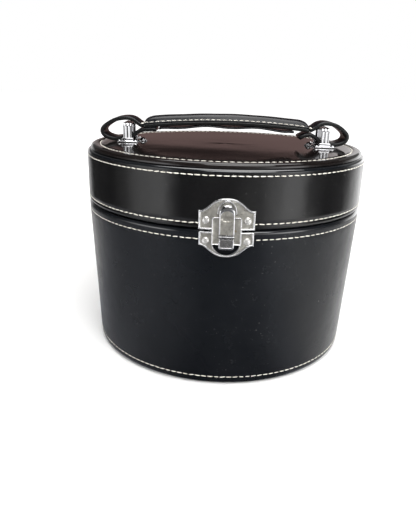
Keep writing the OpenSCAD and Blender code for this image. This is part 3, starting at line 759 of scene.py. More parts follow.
def top_panel():
    """The whole skin of the panel: up its underside edge, round its roll, and in to the middle."""
    angle = np.linspace(0, 2 * np.pi, 288, endpoint=False)
    radius = np.concatenate([np.linspace(panel_r - panel_round, stitch_top_r + 3, 4),
                             np.linspace(stitch_top_r + 2.6, stitch_top_r - 2.6, 14),
                             np.linspace(stitch_top_r - 3.2, 2, 40), [0]])
    roll = arc(panel_r - panel_round, top_z - panel_round, panel_round, -22, 90, 12)[:-1]
    under = np.array([[0, panel_low_z], [panel_r - 4, panel_low_z], [panel_r - 1.2, panel_low_z]])
    flat = np.stack([radius, np.full(len(radius), top_z)], -1)
    profile = np.concatenate([under, roll, flat])
    grid = turned(profile, len(angle))
    first = len(under) + len(roll)
    grid[:, first:, 2] += top_height(radius[None, :], angle[:, None])
    grid[:, first - 6:first, 2] += -0.05 * np.linspace(0, 1, 6)
    return grid


lid_top = piece("lid_top_padded", [surface(top_panel(), round_rows=True)], top_skin, "lid",
                ["lid_top_panel"])
print("top panel faces", len(lid_top.data.polygons))

# %% [markdown]
# ## Stitches
# A stitch is a short fat thread with round ends that sinks into the leather at both sides. One
# low-poly stitch is worked out once, and copies of it are set along a line by adding arrays. Each
# copy has its own small turn, length and lift, drawn from a seeded generator.

# %% One stitch, and rows of them
def one_stitch(length, radius, rings=6, sides=8):
    """A bent capsule along x: its middle rises by 0.35 radius and its ends sink and close."""
    t = np.linspace(-1, 1, rings)
    girth = radius * np.sqrt(np.clip(1 - np.abs(t) ** 3.2, 0, 1))
    turn = np.linspace(0, 2 * np.pi, sides, endpoint=False)
    x = np.broadcast_to((t * length / 2)[:, None], (rings, sides))
    y = girth[:, None] * np.cos(turn) * 1.08
    z = girth[:, None] * np.sin(turn) * 0.85 + (radius * 0.35 * (1 - t ** 2) - radius * 0.15)[:, None]
    return np.stack([x, np.broadcast_to(y, x.shape), z], -1)


def stitches(places, along, out, length, radius, jitter=1.0):
    """Copies of one stitch at places, lying along one direction and standing out along another."""
    shape = one_stitch(length, radius)
    count = len(places)
    turn = chance.normal(0, 0.035 * jitter, count)[:, None]
    size = chance.normal(1, 0.035 * jitter, count)[:, None]
    lift = chance.normal(0, 0.04 * jitter, count)[:, None]
    side = unit(np.cross(out, along))
    forward = unit(along + side * turn) * size
    across = unit(np.cross(out, forward))
    up = unit(out)
    points = (places + up * lift * radius)[:, None, None] \
        + shape[None, ..., :1] * forward[:, None, None] \
        + shape[None, ..., 1:2] * across[:, None, None] + shape[None, ..., 2:] * up[:, None, None]
    rings, sides = shape.shape[:2]
    quads = grid_quads(rings, sides, round_columns=True)
    quads = (quads[None] + (np.arange(count) * rings * sides)[:, None, None]).reshape(-1, 4)
    return points.reshape(-1, 3), quads


stitch_sink = 0.1
thread_r = 0.34


def stitch_ring(name, radius, z, body, lean_out, count, start=0.0):
    """A row of stitches round the case, each standing out along a direction of the given lean."""
    angle = np.linspace(0, 2 * np.pi, count, endpoint=False) + start
    radial = np.stack([np.cos(angle), np.sin(angle), np.zeros(count)], -1)
    along = np.stack([-np.sin(angle), np.cos(angle), np.zeros(count)], -1)
    out = radial * math.cos(lean_out) + np.array([0, 0, 1.0]) * math.sin(lean_out)
    places = radial * radius + np.array([0, 0, z]) - out * stitch_sink
    pitch = 2 * np.pi * radius / count
    rows = [stitches(places, along, out, pitch * 0.97, thread_r, 2.0)]
    return piece(name, rows, cream_thread, body)


stitch_rows = [
    stitch_ring("stitches_top", stitch_top_r, top_z - 0.3, "lid", math.radians(90), 138),
    stitch_ring("stitches_lid_high", case_r - 0.12, lid_row_z[1], "lid", 0.0, 150, 0.01),
    stitch_ring("stitches_lid_low", case_r - 0.12, lid_row_z[0], "lid", 0.0, 150, 0.02),
    stitch_ring("stitches_base_high", base_r(base_row_z[1]) - 0.08, base_row_z[1], "base", 0.0, 150, 0.005),
    stitch_ring("stitches_base_low", base_r(base_row_z[0]) - 0.08, base_row_z[0], "base", 0.0, 144, 0.015),
]
print("stitches:", sum(len(row.data.polygons) for row in stitch_rows) // 40)

# %% [markdown]
# ## The handle
# The grip is a flat strap with a padded cover sewn on top. Its middle line is an arc of a large
# circle. At each end the strap goes on into a loop, whose middle line is a smooth curve through a
# few chosen points (each stretch is a cubic that also looks at the points on either side).

# %% Sizes of the handle
strap_t = 3.0
strap_half_w = high("grip_strap")[1]
strap_end_x = high("grip_strap")[0]
grip_half = high("grip_cover")[0]
grip_arch_r = 588.6
strap_mid_h = 16.2
stirrup_mid_x = 78.0


def arch(along):
    """Point and upward direction on the grip's middle line, at a distance along it in mm."""
    turn = np.asarray(along, float) / grip_arch_r
    up = np.stack([np.sin(turn), np.zeros_like(turn), np.cos(turn)], -1)
    return up * grip_arch_r + np.array([0, 0, top_z + strap_mid_h - grip_arch_r]), up


def on_arch(along, across, height):
    """Points on the grip from three arrays: along it, across it, and above its middle line."""
    middle, up = arch(along)
    return middle + up * np.asarray(height)[..., None] + np.array([0, 1.0, 0]) * np.asarray(across)[..., None]


def smooth_curve(points, count):
    """A smooth curve through the points: cubics whose slope at a point is half the step between
    the point before and the point after."""
    ends = np.concatenate([[2 * points[0] - points[1]], points, [2 * points[-1] - points[-2]]])
    before, first, second, after = ends[:-3], ends[1:-2], ends[2:-1], ends[3:]
    t = np.linspace(0, 1, count, endpoint=False)[None, :, None]
    a, b, c, d = (p[:, None] for p in (before, first, second, after))
    curve = 0.5 * (2 * b + (c - a) * t + (2 * a - 5 * b + 4 * c - d) * t ** 2
                   + (3 * b - a - 3 * c + d) * t ** 3)
    return np.concatenate([curve.reshape(-1, points.shape[1]), points[-1:]])


print("grip reaches", round(grip_half, 1), "strap half width", round(strap_half_w, 2))

# %% Flat strap of the grip
strap_line, strap_up = arch(np.linspace(-strap_end_x + 0.3, strap_end_x - 0.3, 70))
strap_side = np.broadcast_to([0, 1.0, 0], strap_line.shape)
strap_section = soft_box(2 * strap_half_w, strap_t, 1.1, 6)
grip_strap = piece("grip_strap_leather",
                   [surface(swept(strap_line, strap_side, strap_up, strap_section), round_columns=True)],
                   strap_skin, "handle", ["grip_strap"])
print("strap faces", len(grip_strap.data.polygons))

# %% Padded cover of the grip
pad_half_w = 8.5
flange_h = 0.95
pad_rise = 4.3


def grip_outline(shrink, pad):
    """Outline of the cover across the grip, for every place along it: a flat underside, a thin sewn
    edge, and a crown whose height is (1 - |y|^2.6)^0.55 of its full rise."""
    y = np.concatenate([np.linspace(-1, 1, 9)[:-1], np.linspace(1, -1, 45)[:-1]])
    under = np.arange(len(y)) < 8
    across = y[None] * strap_half_w * (1 - 0.02 * shrink[:, None])
    crown = np.clip(1 - np.abs(across / (pad_half_w * (1 - 0.1 * shrink[:, None]))) ** 2.6, 0, 1) ** 0.55
    edge = np.sqrt(np.clip(1 - (np.abs(y) - 0.93).clip(0) ** 2 / 0.07 ** 2, 0, 1))
    sewn = 0.28 * hill(np.abs(across) - 9.15, 0.55)
    height = np.where(under, 0.0, flange_h * (0.15 + 0.85 * edge) - sewn + pad[:, None] * crown)
    return across, height + strap_t / 2 + 0.05


def grip_pad(name, half, full_rise, scale, material, stands_for):
    """The padded grip: the crown rises over the first few mm and then swells very slightly."""
    along = np.concatenate([np.linspace(-half, -half + 9, 14)[:-1], np.linspace(-half + 9, half - 9, 60),
                            np.linspace(half - 9, half, 14)[1:]])
    inside = np.clip((half - np.abs(along)) / 9.5, 0, 1)
    rise = np.sqrt(np.clip(1 - (1 - inside) ** 2.2, 0, 1))
    swell = 1 + 0.02 * np.sin(along * 0.09 + 1) + 0.015 * np.sin(along * 0.23)
    across, height = grip_outline(1 - inside, full_rise * rise * swell)
    grid = on_arch(np.broadcast_to(along[:, None], across.shape), across * scale, height)
    cap = [grid[:1].mean(axis=1, keepdims=True), grid[-1:].mean(axis=1, keepdims=True)]
    caps = [np.broadcast_to(point, grid[:1].shape) for point in cap]
    return piece(name, [surface(np.concatenate([caps[0], grid, caps[1]]), round_columns=True)],
                 material, "handle", [stands_for])


grip_cover = grip_pad("grip_cover_padded", grip_half - 0.6, pad_rise, 1.0, handle_skin,
                      "grip_cover")
grip_foam = grip_pad("grip_foam", grip_half - 4, pad_rise - 1.4, 0.78, foam, "grip_core")
print("grip cover faces", len(grip_cover.data.polygons))

# %% Wavy under-layer
under_half = high("grip_underlay")[0]
under_along = np.linspace(-under_half, under_half, 90)
fades = step_up(under_half - np.abs(under_along), 0, 8)
sag = 0.75 + 0.75 * np.sin(under_along / under_half * 2.6 * np.pi + 0.9) * fades
under_middle, under_up = arch(under_along)
under_middle = under_middle - under_up * (strap_t / 2 + 0.85 + sag[:, None] * 0.8)
under_side = np.broadcast_to([0, 1.0, 0], under_middle.shape)
under_section = soft_box(2 * strap_half_w - 1.4, 1.5, 0.7, 4)
underlay = piece("grip_underlay_leather",
                 [surface(swept(under_middle, under_side, under_up, under_section), round_columns=True)],
                 strap_skin, "handle", ["grip_underlay"])
print("under-layer faces", len(underlay.data.polygons))

# %% Strap loops
loop_points = np.array([
    [66.5, 12.53], [69.8, 14.37], [74, 17.2], [79.5, 18.2], [87, 16.6], [94, 11.8], [96, 8], [94, 4.2],
    [87.5, 2], [82.5, 2.8], [78, 3.2], [74, 4.8], [71, 7.3]])


def strap_loop(name, side, tail, wider, stands_for):
    """One loop in the plane of x and z, carried across the strap's width, with its own tail. The part outside
    the stirrup may be a little wider."""
    points = np.concatenate([loop_points, tail])
    points[:, 0] += (points[:, 0] - stirrup_mid_x).clip(0) * wider
    line_xz = spaced(smooth_curve(points, 12), 1.0)
    x, z = line_xz[:, 0] * side, line_xz[:, 1] + top_z
    middle = np.stack([x, np.zeros_like(x), z], -1)
    along = unit(np.gradient(middle, axis=0))
    across = np.broadcast_to([0, 1.0, 0], middle.shape)
    loop = swept(middle, across, np.cross(along, across), strap_section)
    return piece(name, [surface(loop, round_columns=True)], strap_skin, "handle", [stands_for])


loops = [strap_loop("strap_loop_left_leather", -1, [[67, 9.2], [61, 9.9], [56, 10.1]], 0.14,
                    "strap_loop_left"),
         strap_loop("strap_loop_right_leather", 1, [[67, 9.0], [62.5, 8.6], [58.6, 6.6]], 0.0,
                    "strap_loop_right")]
print("loop faces", [len(loop.data.polygons) for loop in loops])

# %% Stitches of the handle
grip_pitch = 4.4


def grip_stitches():
    """Two rows on the sewn edges of the grip, and short tacks across the strap at both ends."""
    along = np.arange(-grip_half + 2.4, grip_half - 2, grip_pitch)
    rows = []
    for side in (-1, 1):
        height = np.full(len(along), strap_t / 2 + flange_h + 0.08)
        places = on_arch(along, np.full(len(along), side * 9.15), height)
        _, up = arch(along)
        rows.append(stitches(places, np.cross([0, 1.0, 0], up), up, 4.1, thread_r))
        for end in (-1, 1):
            tack = on_arch(np.array([end * 66.2]), np.array([side * 8.2]), np.array([strap_t / 2 + 0.2]))
            tack_along = unit(np.array([[end * 0.55, side * 1.0, 0.1]]))
            rows.append(stitches(tack, tack_along, np.array([[0, 0, 1.0]]), 4.4, 0.85))
    return rows


def underside_stitches():
    """A dark row along each edge of the under-layer."""
    along = np.arange(-under_half + 3, under_half - 3, 5.0)
    rows = []
    for side in (-1, 1):
        middle = np.interp(along, under_along, sag)
        across = np.full(len(along), side * (strap_half_w - 0.75))
        places = on_arch(along, across, -(strap_t / 2 + 0.85 + middle * 0.8))
        _, up = arch(along)
        out = np.broadcast_to([0, side * 1.0, 0], up.shape)
        rows.append(stitches(places, np.cross([0, 1.0, 0], up), out, 3.4, 0.4))
    return rows


grip_rows = piece("grip_stitches", grip_stitches(), cream_thread, "handle")
piece("grip_under_stitches", underside_stitches(), black_thread, "handle")
print("grip stitches", len(grip_rows.data.polygons) // 40)

# %% [markdown]
# ## Pressed metal plates
# A plate is its outline drawn several times, each ring a little further in and at its own height:
# the side wall, a bright rounded rim, a small step down, and the flat. The rings then shrink to the
# plate's middle, or to the edge of a hole. The latch plates are bent round the case: a point x
# millimetres from the middle goes to the angle whose sine is x / R.

# %% Plates out of rings
def offset(outline, inset):
    """The outline moved inwards: every point goes along the mean normal of its two neighbours."""
    step = np.roll(outline, -1, axis=0) - np.roll(outline, 1, axis=0)
    normal = unit(np.stack([step[:, 1], -step[:, 0]], -1))
    return outline - normal * inset


def both_sides(half):
    """A closed outline from its right half, listed from the lowest middle point to the highest."""
    half = np.asarray(half, float)
    return np.concatenate([half, half[::-1][1:-1] * [-1, 1]])


def even_loop(outline, count):
    """The closed outline cut into equal lengths."""
    closed = np.concatenate([outline, outline[:1]])
    along = np.concatenate([[0], np.cumsum(np.linalg.norm(np.diff(closed, axis=0), axis=1))])
    even = np.linspace(0, along[-1], count, endpoint=False)
    return np.stack([np.interp(even, along, closed[:, k]) for k in (0, 1)], -1)


def same_angle(outline, hole, middle):
    """For every point of the outline, the point of the hole's edge in the same direction."""
    angle = np.arctan2(*(hole - middle).T[::-1])
    order = np.argsort(angle)
    reach_out = np.linalg.norm(hole - middle, axis=1)[order]
    wanted = np.arctan2(*(outline - middle).T[::-1])
    radius = np.interp(wanted, angle[order], reach_out, period=2 * np.pi)
    return middle + radius[:, None] * np.stack([np.cos(wanted), np.sin(wanted)], -1)


def rows_between(quads, columns, first, last):
    """Which quads of a grid lie between two of its rows."""
    row = quads[:, 0] // columns
    return (row >= first) & (row < last)


def plate(outline, steps, place, low_h, middle=None, hole=None, fills=6):
    """A closed plate: steps are (inset, height) from the outside in, low_h is its back."""
    middle = outline.mean(axis=0) if middle is None else np.asarray(middle, float)
    rings = [(outline, low_h)] + [(offset(outline, inset), height) for inset, height in steps]
    last, top = rings[-1]
    if hole is None:
        rings = [(outline * 0 + middle, low_h)] + rings
        rings += [(middle + (last - middle) * s, top) for s in np.linspace(1, 0, fills + 1)[1:]]
    else:
        rings += [(last + (hole - last) * s, top) for s in np.linspace(0, 1, fills + 1)[1:]]
        rings += [(hole, low_h)]
    flat = np.stack([ring for ring, _ in rings])
    height = np.stack([np.full(len(outline), h) for _, h in rings])
    points, quads = surface(place(flat[..., 0], flat[..., 1], height), hole is not None, True)
    first = 0 if hole is not None else 1
    return points, quads, rows_between(quads, len(outline), first, first + len(steps))


print("a circle cut into", len(even_loop(arc(0, 0, 1, 0, 350, 36), 20)), "equal lengths")

# %% Ways to lay a plate on the case, and rivet heads
plate_r = case_r + 0.05


def on_front(x, z, height):
    """Bent round the front of the case: R outwards plus the height, at the angle asin(x / R)."""
    lean = np.arcsin(np.clip(x / plate_r, -1, 1))
    return np.stack([(plate_r + height) * np.sin(lean), -(plate_r + height) * np.cos(lean), z], -1)


def flat_front(x, z, height):
    """Flat in front of the case: the height is the distance out from its foremost line."""
    return np.stack([x, -case_r - height, z], -1)


def on_lid(x, y, height):
    """Lying on the lid: the height is above its top."""
    return np.stack([x, y, top_z + height], -1)


def dome(place, out, radius, height, rings=9, sides=28):
    """A rivet head: a low dome with a rounded foot, closed underneath."""
    out = unit(np.asarray(out, float))
    side = unit(np.cross(out, [0.3, 0.2, 0.9] if abs(out[2]) < 0.9 else [1, 0, 0]))
    across = np.cross(out, side)
    t = np.linspace(0, np.pi / 2, rings)
    reach_out = np.concatenate([[0, radius], radius * np.cos(t) ** 0.9])
    lift = np.concatenate([[-0.3, -0.3], 0.12 + (height - 0.12) * np.sin(t)])
    turn = np.linspace(0, 2 * np.pi, sides, endpoint=False)
    ring = np.cos(turn)[:, None] * side + np.sin(turn)[:, None] * across
    return surface(np.asarray(place) + reach_out[:, None, None] * ring + (lift[:, None] * out)[:, None],
                   round_columns=True)


print("plate tools ready")

# %% Latch plates
rim_steps = [(0.0, 0.35), (0.08, 0.62), (0.22, 0.84), (0.42, 1.0), (0.66, 1.06), (0.9, 1.0), (1.08, 0.86),
             (1.25, 0.66)]
upper_half = smooth_curve(np.array([
    [18.4, 131.5], [17.1, 131.35], [15.3, 131.9], [12.8, 133.5], [10.2, 135.9], [7.1, 138.1], [3.6, 139.3],
    [0, 139.6]]), 8)
upper_outline = even_loop(both_sides(np.concatenate([
    [[0, 118.7]], arc(17.7, 119.2, 0.5, -90, 0, 4), line([18.2, 120.5], [18.2, 130.3], 8), upper_half])), 220)
lower_half = smooth_curve(np.array([
    [0, 100.4], [4.0, 100.8], [7.5, 102.2], [10.8, 104.5], [13.6, 106.8], [15.9, 107.9], [17.2, 108.0],
    [18.1, 107.9]]), 8)
lower_outline = even_loop(both_sides(np.concatenate([
    lower_half, line([17.9, 109.0], [17.9, 116.6], 8), arc(17.4, 117.0, 0.5, 0, 90, 4), [[0, 117.5]]])), 220)
recess_z, recess_r, channel_low_z, channel_top_z = 111.0, 9.2, 109.3, 127.7
lower_middle = np.array([0, 106.6])
recess_edge = np.concatenate([
    arc(0, recess_z, recess_r, -165, -15, 40), line([recess_r, 109.4], [-recess_r, 109.4], 20)])
recess_hole = same_angle(lower_outline, recess_edge, lower_middle)
catch = soft_box(5, 1.5, 0.4) + [0, 133.55]
upper_plate = piece("latch_upper_face", [
    plate(upper_outline, rim_steps, on_front, -0.3, middle=(0, 128)),
    plate(catch, [(0, 1.9), (0.2, 2.2)], flat_front, 0.6)],
    chrome_satin, "lid", ["latch_upper_plate"], rim_chrome_highlight)


def bar_along(points, width, low_h, high_h):
    """A bright bar bent along a line of points: the rim of the finger recess, or of the hood."""
    along = unit(np.gradient(points, axis=0))
    inward = np.stack([-along[:, 1], along[:, 0]], -1)
    section = soft_box(width, high_h - low_h, 0.25, 4)
    flat = points[:, None] + inward[:, None] * section[None, :, :1]
    height = np.broadcast_to(section[:, 1] + (low_h + high_h) / 2, flat.shape[:2])
    grid = flat_front(flat[..., 0], flat[..., 1], height)
    ends = [np.broadcast_to(grid[k].mean(axis=0), grid[:1].shape) for k in (0, -1)]
    points, quads = surface(np.concatenate([ends[0], grid, ends[1]]), round_columns=True)
    return points, quads, np.ones(len(quads), bool)


hood_half = smooth_curve(np.array([
    [5.75, 129.6], [5.7, 131.6], [5.0, 134.2], [3.7, 136.3], [1.9, 137.5], [0, 137.9]]), 8)
hood_line = np.concatenate([hood_half, hood_half[::-1][1:] * [-1, 1]])
piece("latch_hood", [bar_along(hood_line, 0.9, 0.5, 2.1)], rim_chrome_highlight, "lid",
      rim=rim_chrome_highlight)

print("upper plate faces", len(upper_plate.data.polygons))

# %% Channel, tab and knuckles of the latch
channel_half = 9.6
channel_outline = even_loop(both_sides(np.concatenate([
    [[0, channel_low_z]], [[channel_half, channel_low_z]],
    line([channel_half, channel_low_z + 0.5], [channel_half, 126.3], 8),
    arc(channel_half - 1.3, channel_top_z - 1.3, 1.3, 0, 90, 6), [[0, channel_top_z]]])), 180)
channel_steps = [(0, 2.3), (0.1, 2.5), (0.4, 2.52), (0.62, 2.3), (0.7, 2.2)]
tab_half = 5.0
tab_outline = even_loop(both_sides(np.concatenate([
    [[0, 106.3]], arc(tab_half - 1.9, 108.2, 1.9, -90, 0, 8), line([tab_half, 109], [tab_half, 113.6], 4),
    [[tab_half - 0.2, 113.9]], [[0, 113.9]]])), 120)
tab_inner = even_loop(both_sides(np.concatenate([
    [[0, 108.0]], arc(tab_half - 1.3, 108.5, 0.5, -90, 0, 3),
    line([tab_half - 0.8, 109], [tab_half - 0.8, 113.3], 4), [[0, 113.5]]])), 120)


def banded(outer, inner, out_steps, flat_h, low_h, place, middle, relief=None, fills=14, slope=None):
    """A plate whose bright band runs from one outline to another one inside it, as a fraction. The
    relief shapes the flat inside the band, and the slope shapes the band with it."""
    inner = same_angle(outer, inner, np.asarray(middle, float))
    rings = [(outer * 0 + middle, low_h), (outer, low_h)]
    rings += [(outer + (inner - outer) * part, height) for part, height in out_steps]
    rings += [(middle + (inner - middle) * s, flat_h) for s in np.linspace(0.985, 0, fills)]
    flat = np.stack([ring for ring, _ in rings])
    height = np.stack([np.full(len(outer), h) for _, h in rings])
    if relief is not None:
        height[-fills:] += relief(flat[-fills:])
    if slope is not None:
        height[2:] += slope(flat[2:])
    points, quads = surface(place(flat[..., 0], flat[..., 1], height), round_columns=True)
    return points, quads, rows_between(quads, len(outer), 1, len(out_steps) + 1)


band_steps = [(0, 3.3), (0.12, 3.75), (0.4, 4.12), (0.75, 4.28), (0.95, 4.2), (1.0, 4.05)]
knuckle_out = 3.95
knuckle_z = 115.0
knuckle_r = 0.8


def barrel(x_from, x_to, radius):
    """A round knuckle on the hasp's axis, with softened ends."""
    x = np.array([x_from, x_from, x_from + 0.12, x_to - 0.12, x_to, x_to])
    r = np.array([0, radius - 0.12, radius, radius, radius - 0.12, 0])
    turn = np.linspace(0, 2 * np.pi, 28, endpoint=False)
    y = -case_r - knuckle_out + r[:, None] * np.cos(turn)
    z = knuckle_z + r[:, None] * np.sin(turn)
    return surface(np.stack([np.broadcast_to(x[:, None], y.shape), y, z], -1), round_columns=True)


lower_plate = piece("latch_lower_face", [
    plate(lower_outline, rim_steps, on_front, -0.8, middle=lower_middle, hole=recess_hole),
    plate(channel_outline, channel_steps, flat_front, 1.5, middle=(0, 118)),
    bar_along(arc(0, recess_z, 9.4, -166, -14, 50), 0.5, 0.1, 1.05)],
    chrome_satin, "base", ["latch_lower_plate"], rim_chrome_highlight)
piece("latch_knuckles", [barrel(-5.0, -3.3, knuckle_r), barrel(3.3, 5.0, knuckle_r)], chrome_satin,
      "base")


def tab_slope(points):
    """The tab's upper end falls away towards the hinge, so the hasp clears it when it hangs down."""
    return -0.75 * step_up(points[..., 1], 112.7, 113.9)


# painted shade: the tab's flat takes the darkened plating, and its band takes the bright chrome
piece("latch_tab",
      [banded(tab_outline, tab_inner, band_steps, 3.7, 2.3, flat_front, (0, 110.6), slope=tab_slope)],
      tab_shaded_plating, "base", (), chrome_bright)
print("lower plate faces", len(lower_plate.data.polygons))

# %% Hasp
nose_half = 5.1
nose_top_z = 135.8
nose_outline = even_loop(both_sides(np.concatenate([
    [[0, 116.1]], [[nose_half - 0.2, 116.1]],
    line([nose_half, 116.4], [nose_half, nose_top_z - nose_half], 10),
    arc(0, nose_top_z - nose_half, nose_half, 0, 90, 24)[1:]])), 200)
nose_inner = even_loop(both_sides(np.concatenate([
    [[0, 116.5]], [[nose_half - 1.0, 116.5]], line([nose_half - 0.95, 117.2], [nose_half - 0.95, 127.9], 10),
    arc(0, 128.2, nose_half - 0.95, 0, 90, 24)[1:]])), 200)


def nose_relief(points):
    """An oval thumb dimple, and a curl forward to the knuckle at the lower end."""
    x, z = points[..., 0], points[..., 1]
    dimple = -0.55 * step_up(1 - np.hypot(x / 3.6, (z - 126.9) / 1.75), -0.06, 0.3)
    return dimple + 0.4 * step_up(118.0 - z, 0, 1.4)


lip = soft_box(5, 1.0, 0.3) + [0, 135.1]
neck = soft_box(6.0, 1.4, 0.3) + [0, 115.9]
hasp = piece("hasp_nose", [
    banded(nose_outline, nose_inner, [(p, h + 0.1) for p, h in band_steps], 4.1, 2.75, flat_front,
           (0, 126.9), nose_relief, 22),
    plate(lip, [(0, 3.0), (0.1, 3.1)], flat_front, 1.6), barrel(-3.0, 3.0, knuckle_r)],
    chrome_satin, "hasp", ["latch_hasp"], chrome_bright)
# painted shade: the neck behind the slit above the knuckles is dark steel
piece("hasp_neck", [plate(neck, [(0, 3.7), (0.2, 3.8)], flat_front, 3.3)], neck_shade_steel, "hasp")
print("hasp faces", len(hasp.data.polygons))

# %% Rivets of the latch
rivet_satin = plated("rivet_satin", (0.75, 0.74, 0.71), (0.18, 0.3), 0.000006, tarnish=0.6, solid=0.7)
latch_rivet_x = 13.3


def latch_rivets(name, z, body, stands_for):
    """Two domes standing straight out from the case on either side of the middle."""
    heads = []
    for side in (-1, 1):
        lean = side * math.asin(latch_rivet_x / case_r)
        out = np.array([math.sin(lean), -math.cos(lean), 0])
        heads.append(dome(out * (case_r + 0.8) + [0, 0, z], out, 2.6, 1.7))
    return piece(name, heads, rivet_satin, body, [stands_for])


latch_rivets("latch_upper_heads", 125.2, "lid", "latch_upper_rivets")
latch_rivets("latch_lower_heads", 111.5, "base", "latch_lower_rivets")
print("latch rivets", latch_rivet_x, "mm from the middle")

# %% [markdown]
# ## Stirrups
# Each stirrup is a ridged strip bent into an upside-down U, with a collar round each foot, standing
# on a shaped foot plate that five rivets hold to the lid.

# %% Bow of a stirrup
bow_half = (high("stirrup_right")[1] - low("stirrup_right")[1]) / 2 - 2.25
bow_t = 1.6
bow_h = high("stirrup_right")[2] - top_z
strip_half = 3.3
plate_h = 1.0
foot_w = 17.0
foot_y = 12.9
tongue_x = 10.6
foot_steps = [(0, 0.7), (0.12, 0.92), (0.4, 1.0)]


def ridged_section():
    """Across the strip: rounded edges, and two shallow grooves along its outer face."""
    x = np.linspace(-strip_half, strip_half, 41)
    grooves = 0.42 * (hill(x - 1.35, 0.62) ** 2 + hill(x + 1.35, 0.62) ** 2)
    edge = 0.5 * (1 - np.sqrt(np.clip(1 - ((np.abs(x) - strip_half + 0.5).clip(0) / 0.5) ** 2, 0, 1)))
    outer = np.stack([x, bow_t / 2 - grooves - edge], -1)
    inner = np.stack([x[::-5], -bow_t / 2 + edge[::-5]], -1)
    return np.concatenate([outer, inner[1:-1]])


def stirrup_bow(x_mid):
    """The strip's middle line goes up one leg, round two corners and down the other leg."""
    side, top, corner = bow_half - bow_t / 2, bow_h - bow_t / 2, 2.3
    path = np.concatenate([
        line([side, 0.4], [side, top - corner - 0.5], 8), arc(side - corner, top - corner, corner, 0, 90, 9),
        line([side - corner - 0.5, top], [-side + corner + 0.5, top], 8),
        arc(-side + corner, top - corner, corner, 90, 180, 9),
        line([-side, top - corner - 0.5], [-side, 0.4], 8)])
    middle = np.stack([np.full(len(path), x_mid), path[:, 0], path[:, 1] + top_z], -1)
    along = unit(np.gradient(middle, axis=0))
    across = np.broadcast_to([1.0, 0, 0], middle.shape)
    strip = swept(middle, across, np.cross(across, along) * -1, ridged_section()[::-1])
    return surface(strip, round_columns=True)


print("bow", round(bow_h, 1), "mm high and", round(2 * bow_half, 1), "mm wide")

# %% Whole stirrups and their rivets
def stirrup(name, side, stands_for):
    """The bow, a collar and a foot for each leg, the web between them and the tongue."""
    x_mid = side * stirrup_mid_x
    parts = [stirrup_bow(x_mid)]
    for y in (-1, 1):
        collar = soft_box(9.2, 2.3, 0.7) + [x_mid, y * (bow_half - bow_t / 2)]
        parts.append(plate(collar, [(0, 2.9), (0.15, 3.2), (0.5, 3.4)], on_lid, 0.3, fills=2))
        foot = soft_box(foot_w, 4.8, 1.9) + [x_mid, y * foot_y]
        parts.append(plate(foot, foot_steps, on_lid, -0.2, fills=3))
    web = soft_box(8, 22, 0.5) + [x_mid, 0]
    parts.append(plate(web, [(0, 0.6), (0.1, 0.8), (0.3, 0.85)], on_lid, -0.2, fills=3))
    tongue = np.concatenate([arc(-tongue_x, 0, 3.4, 75, 285, 30), line([-9.2, -3.3], [0, -3.3], 8),
                             line([0, 3.3], [-9.2, 3.3], 8)]) * [side, 1]
    tongue = even_loop(tongue if side > 0 else tongue[::-1], 120) + [x_mid, 0]
    parts.append(plate(tongue, foot_steps, on_lid, -0.2, fills=3))
    return piece(name, parts, chrome_bright, "lid", [stands_for])


def stirrup_rivets(name, side, stands_for):
    """Four small heads at the corners and a taller dome on the tongue."""
    heads = [dome([side * stirrup_mid_x + x * 6.4, y * foot_y, top_z + plate_h], [0, 0, 1], 1.4, 0.95, 7, 18)
             for x in (-1, 1) for y in (-1, 1)]
    heads.append(dome([side * (stirrup_mid_x - tongue_x), 0, top_z + plate_h], [0, 0, 1], 2.2, 1.75))
    return piece(name, heads, chrome_bright, "lid", [stands_for])


for word, side in (("left", -1), ("right", 1)):
    stirrup("stirrup_" + word + "_bow", side, "stirrup_" + word)
    stirrup_rivets("stirrup_" + word + "_heads", side, "stirrup_rivets_" + word)
print("stirrups ready")

# %% [markdown]
# ## Inside, underneath and behind
# The boards, the cover under the case and the back hinge keep their CAD shapes, with finishes of
# their own. The linings and the two pads get soft shapes.

# %% CAD pieces that keep their shape
kept = {
    "base_board": board, "bottom_board": board, "lid_board": board, "lid_top_board": board,
    "bottom_cover": under_skin, "latch_hasp_pin": pin_steel,
    "hinge_lower_leaf": chrome_satin, "hinge_upper_leaf": chrome_satin, "hinge_pin": pin_steel,
    "hinge_lower_rivets": chrome_bright, "hinge_upper_rivets": chrome_bright}
for node, finish in kept.items():
    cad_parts[node].data.materials.clear()
    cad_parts[node].data.materials.append(finish)
print("CAD pieces kept:", len(kept))

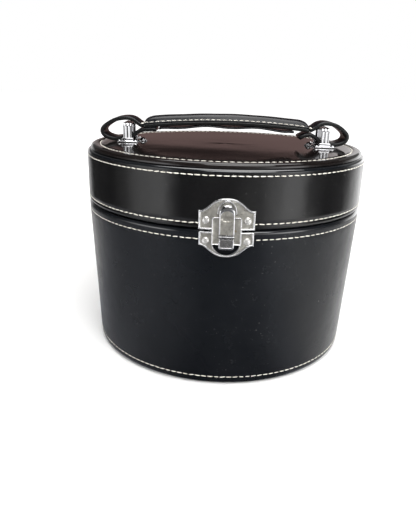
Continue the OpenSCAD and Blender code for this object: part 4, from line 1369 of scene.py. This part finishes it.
# %% Linings
def lining(name, outer, body, node):
    """A thin flock wall, turned from its outer line and the same line 0.8 mm further in."""
    inner = outer[::-1] - [0.8, 0]
    ripple = board_wobble(11, 0.08)
    return piece(name, [surface(turned(np.concatenate([outer, inner]), 200, ripple), True, True)],
                 flock, body, [node])


floor_z = low("floor_pad")[2]
lining_top_z = high("base_lining")[2]
board_low_r = reach("floor_pad") + 0.15
base_line = np.concatenate([
    [[board_low_r, floor_z + 0.1], [board_low_r + 0.9, floor_z + 2.2]],
    line([board_low_r + 1.15, floor_z + 4.5], [reach("base_lining") - 0.05, lining_top_z], 30)])
lining("base_lining_flock", base_line, "base", "base_lining")
lid_lining_r = reach("lid_lining") - 0.05
lid_line = line([lid_lining_r, low("lid_lining")[2]], [lid_lining_r, high("lid_lining")[2]], 14)
lining("lid_lining_flock", lid_line, "lid", "lid_lining")
print("lining of the base from", round(floor_z, 1), "to", round(lining_top_z, 1))

# %% Padded floor and the padded panel inside the lid
def cushion(name, node, body, facing):
    """A round pad: flat on its glued side, and on the other a crown that falls away at the edge
    with six shallow tufts."""
    radius = reach(node) - 0.2
    bottom, top = low(node)[2], high(node)[2]
    thick = top - bottom
    angle = np.linspace(0, 2 * np.pi, 160, endpoint=False)
    edge = arc(radius - thick / 2, 0, thick / 2, -90, 90, 9)
    inner = np.linspace(radius - thick / 2, 0, 40)[1:]
    profile = np.concatenate([[[0, -thick / 2]], edge, np.stack([inner, np.full(len(inner), thick / 2)], -1)])
    grid = turned(profile, len(angle))
    r = profile[10:, 0][None]
    soft = 0.55 * thick * (1 - (r / radius) ** 6) * 0.25 - 0.28 * hill(r - radius * 0.86, 2.2)
    tufts = sum(hill(np.hypot(r * np.cos(angle[:, None]) - radius * 0.55 * math.cos(a),
                              r * np.sin(angle[:, None]) - radius * 0.55 * math.sin(a)), 5.5)
                for a in np.arange(6) * math.pi / 3)
    grid[:, 10:, 2] += soft - 0.5 * tufts
    grid[..., 2] = (bottom + top) / 2 + grid[..., 2] * facing
    return piece(name, [surface(grid, round_rows=True)], flock, body, [node])


floor_cushion = cushion("floor_cushion", "floor_pad", "base", 1)
lid_cushion = cushion("lid_cushion", "lid_pad", "lid", -1)
print("pads", len(floor_cushion.data.polygons), len(lid_cushion.data.polygons))
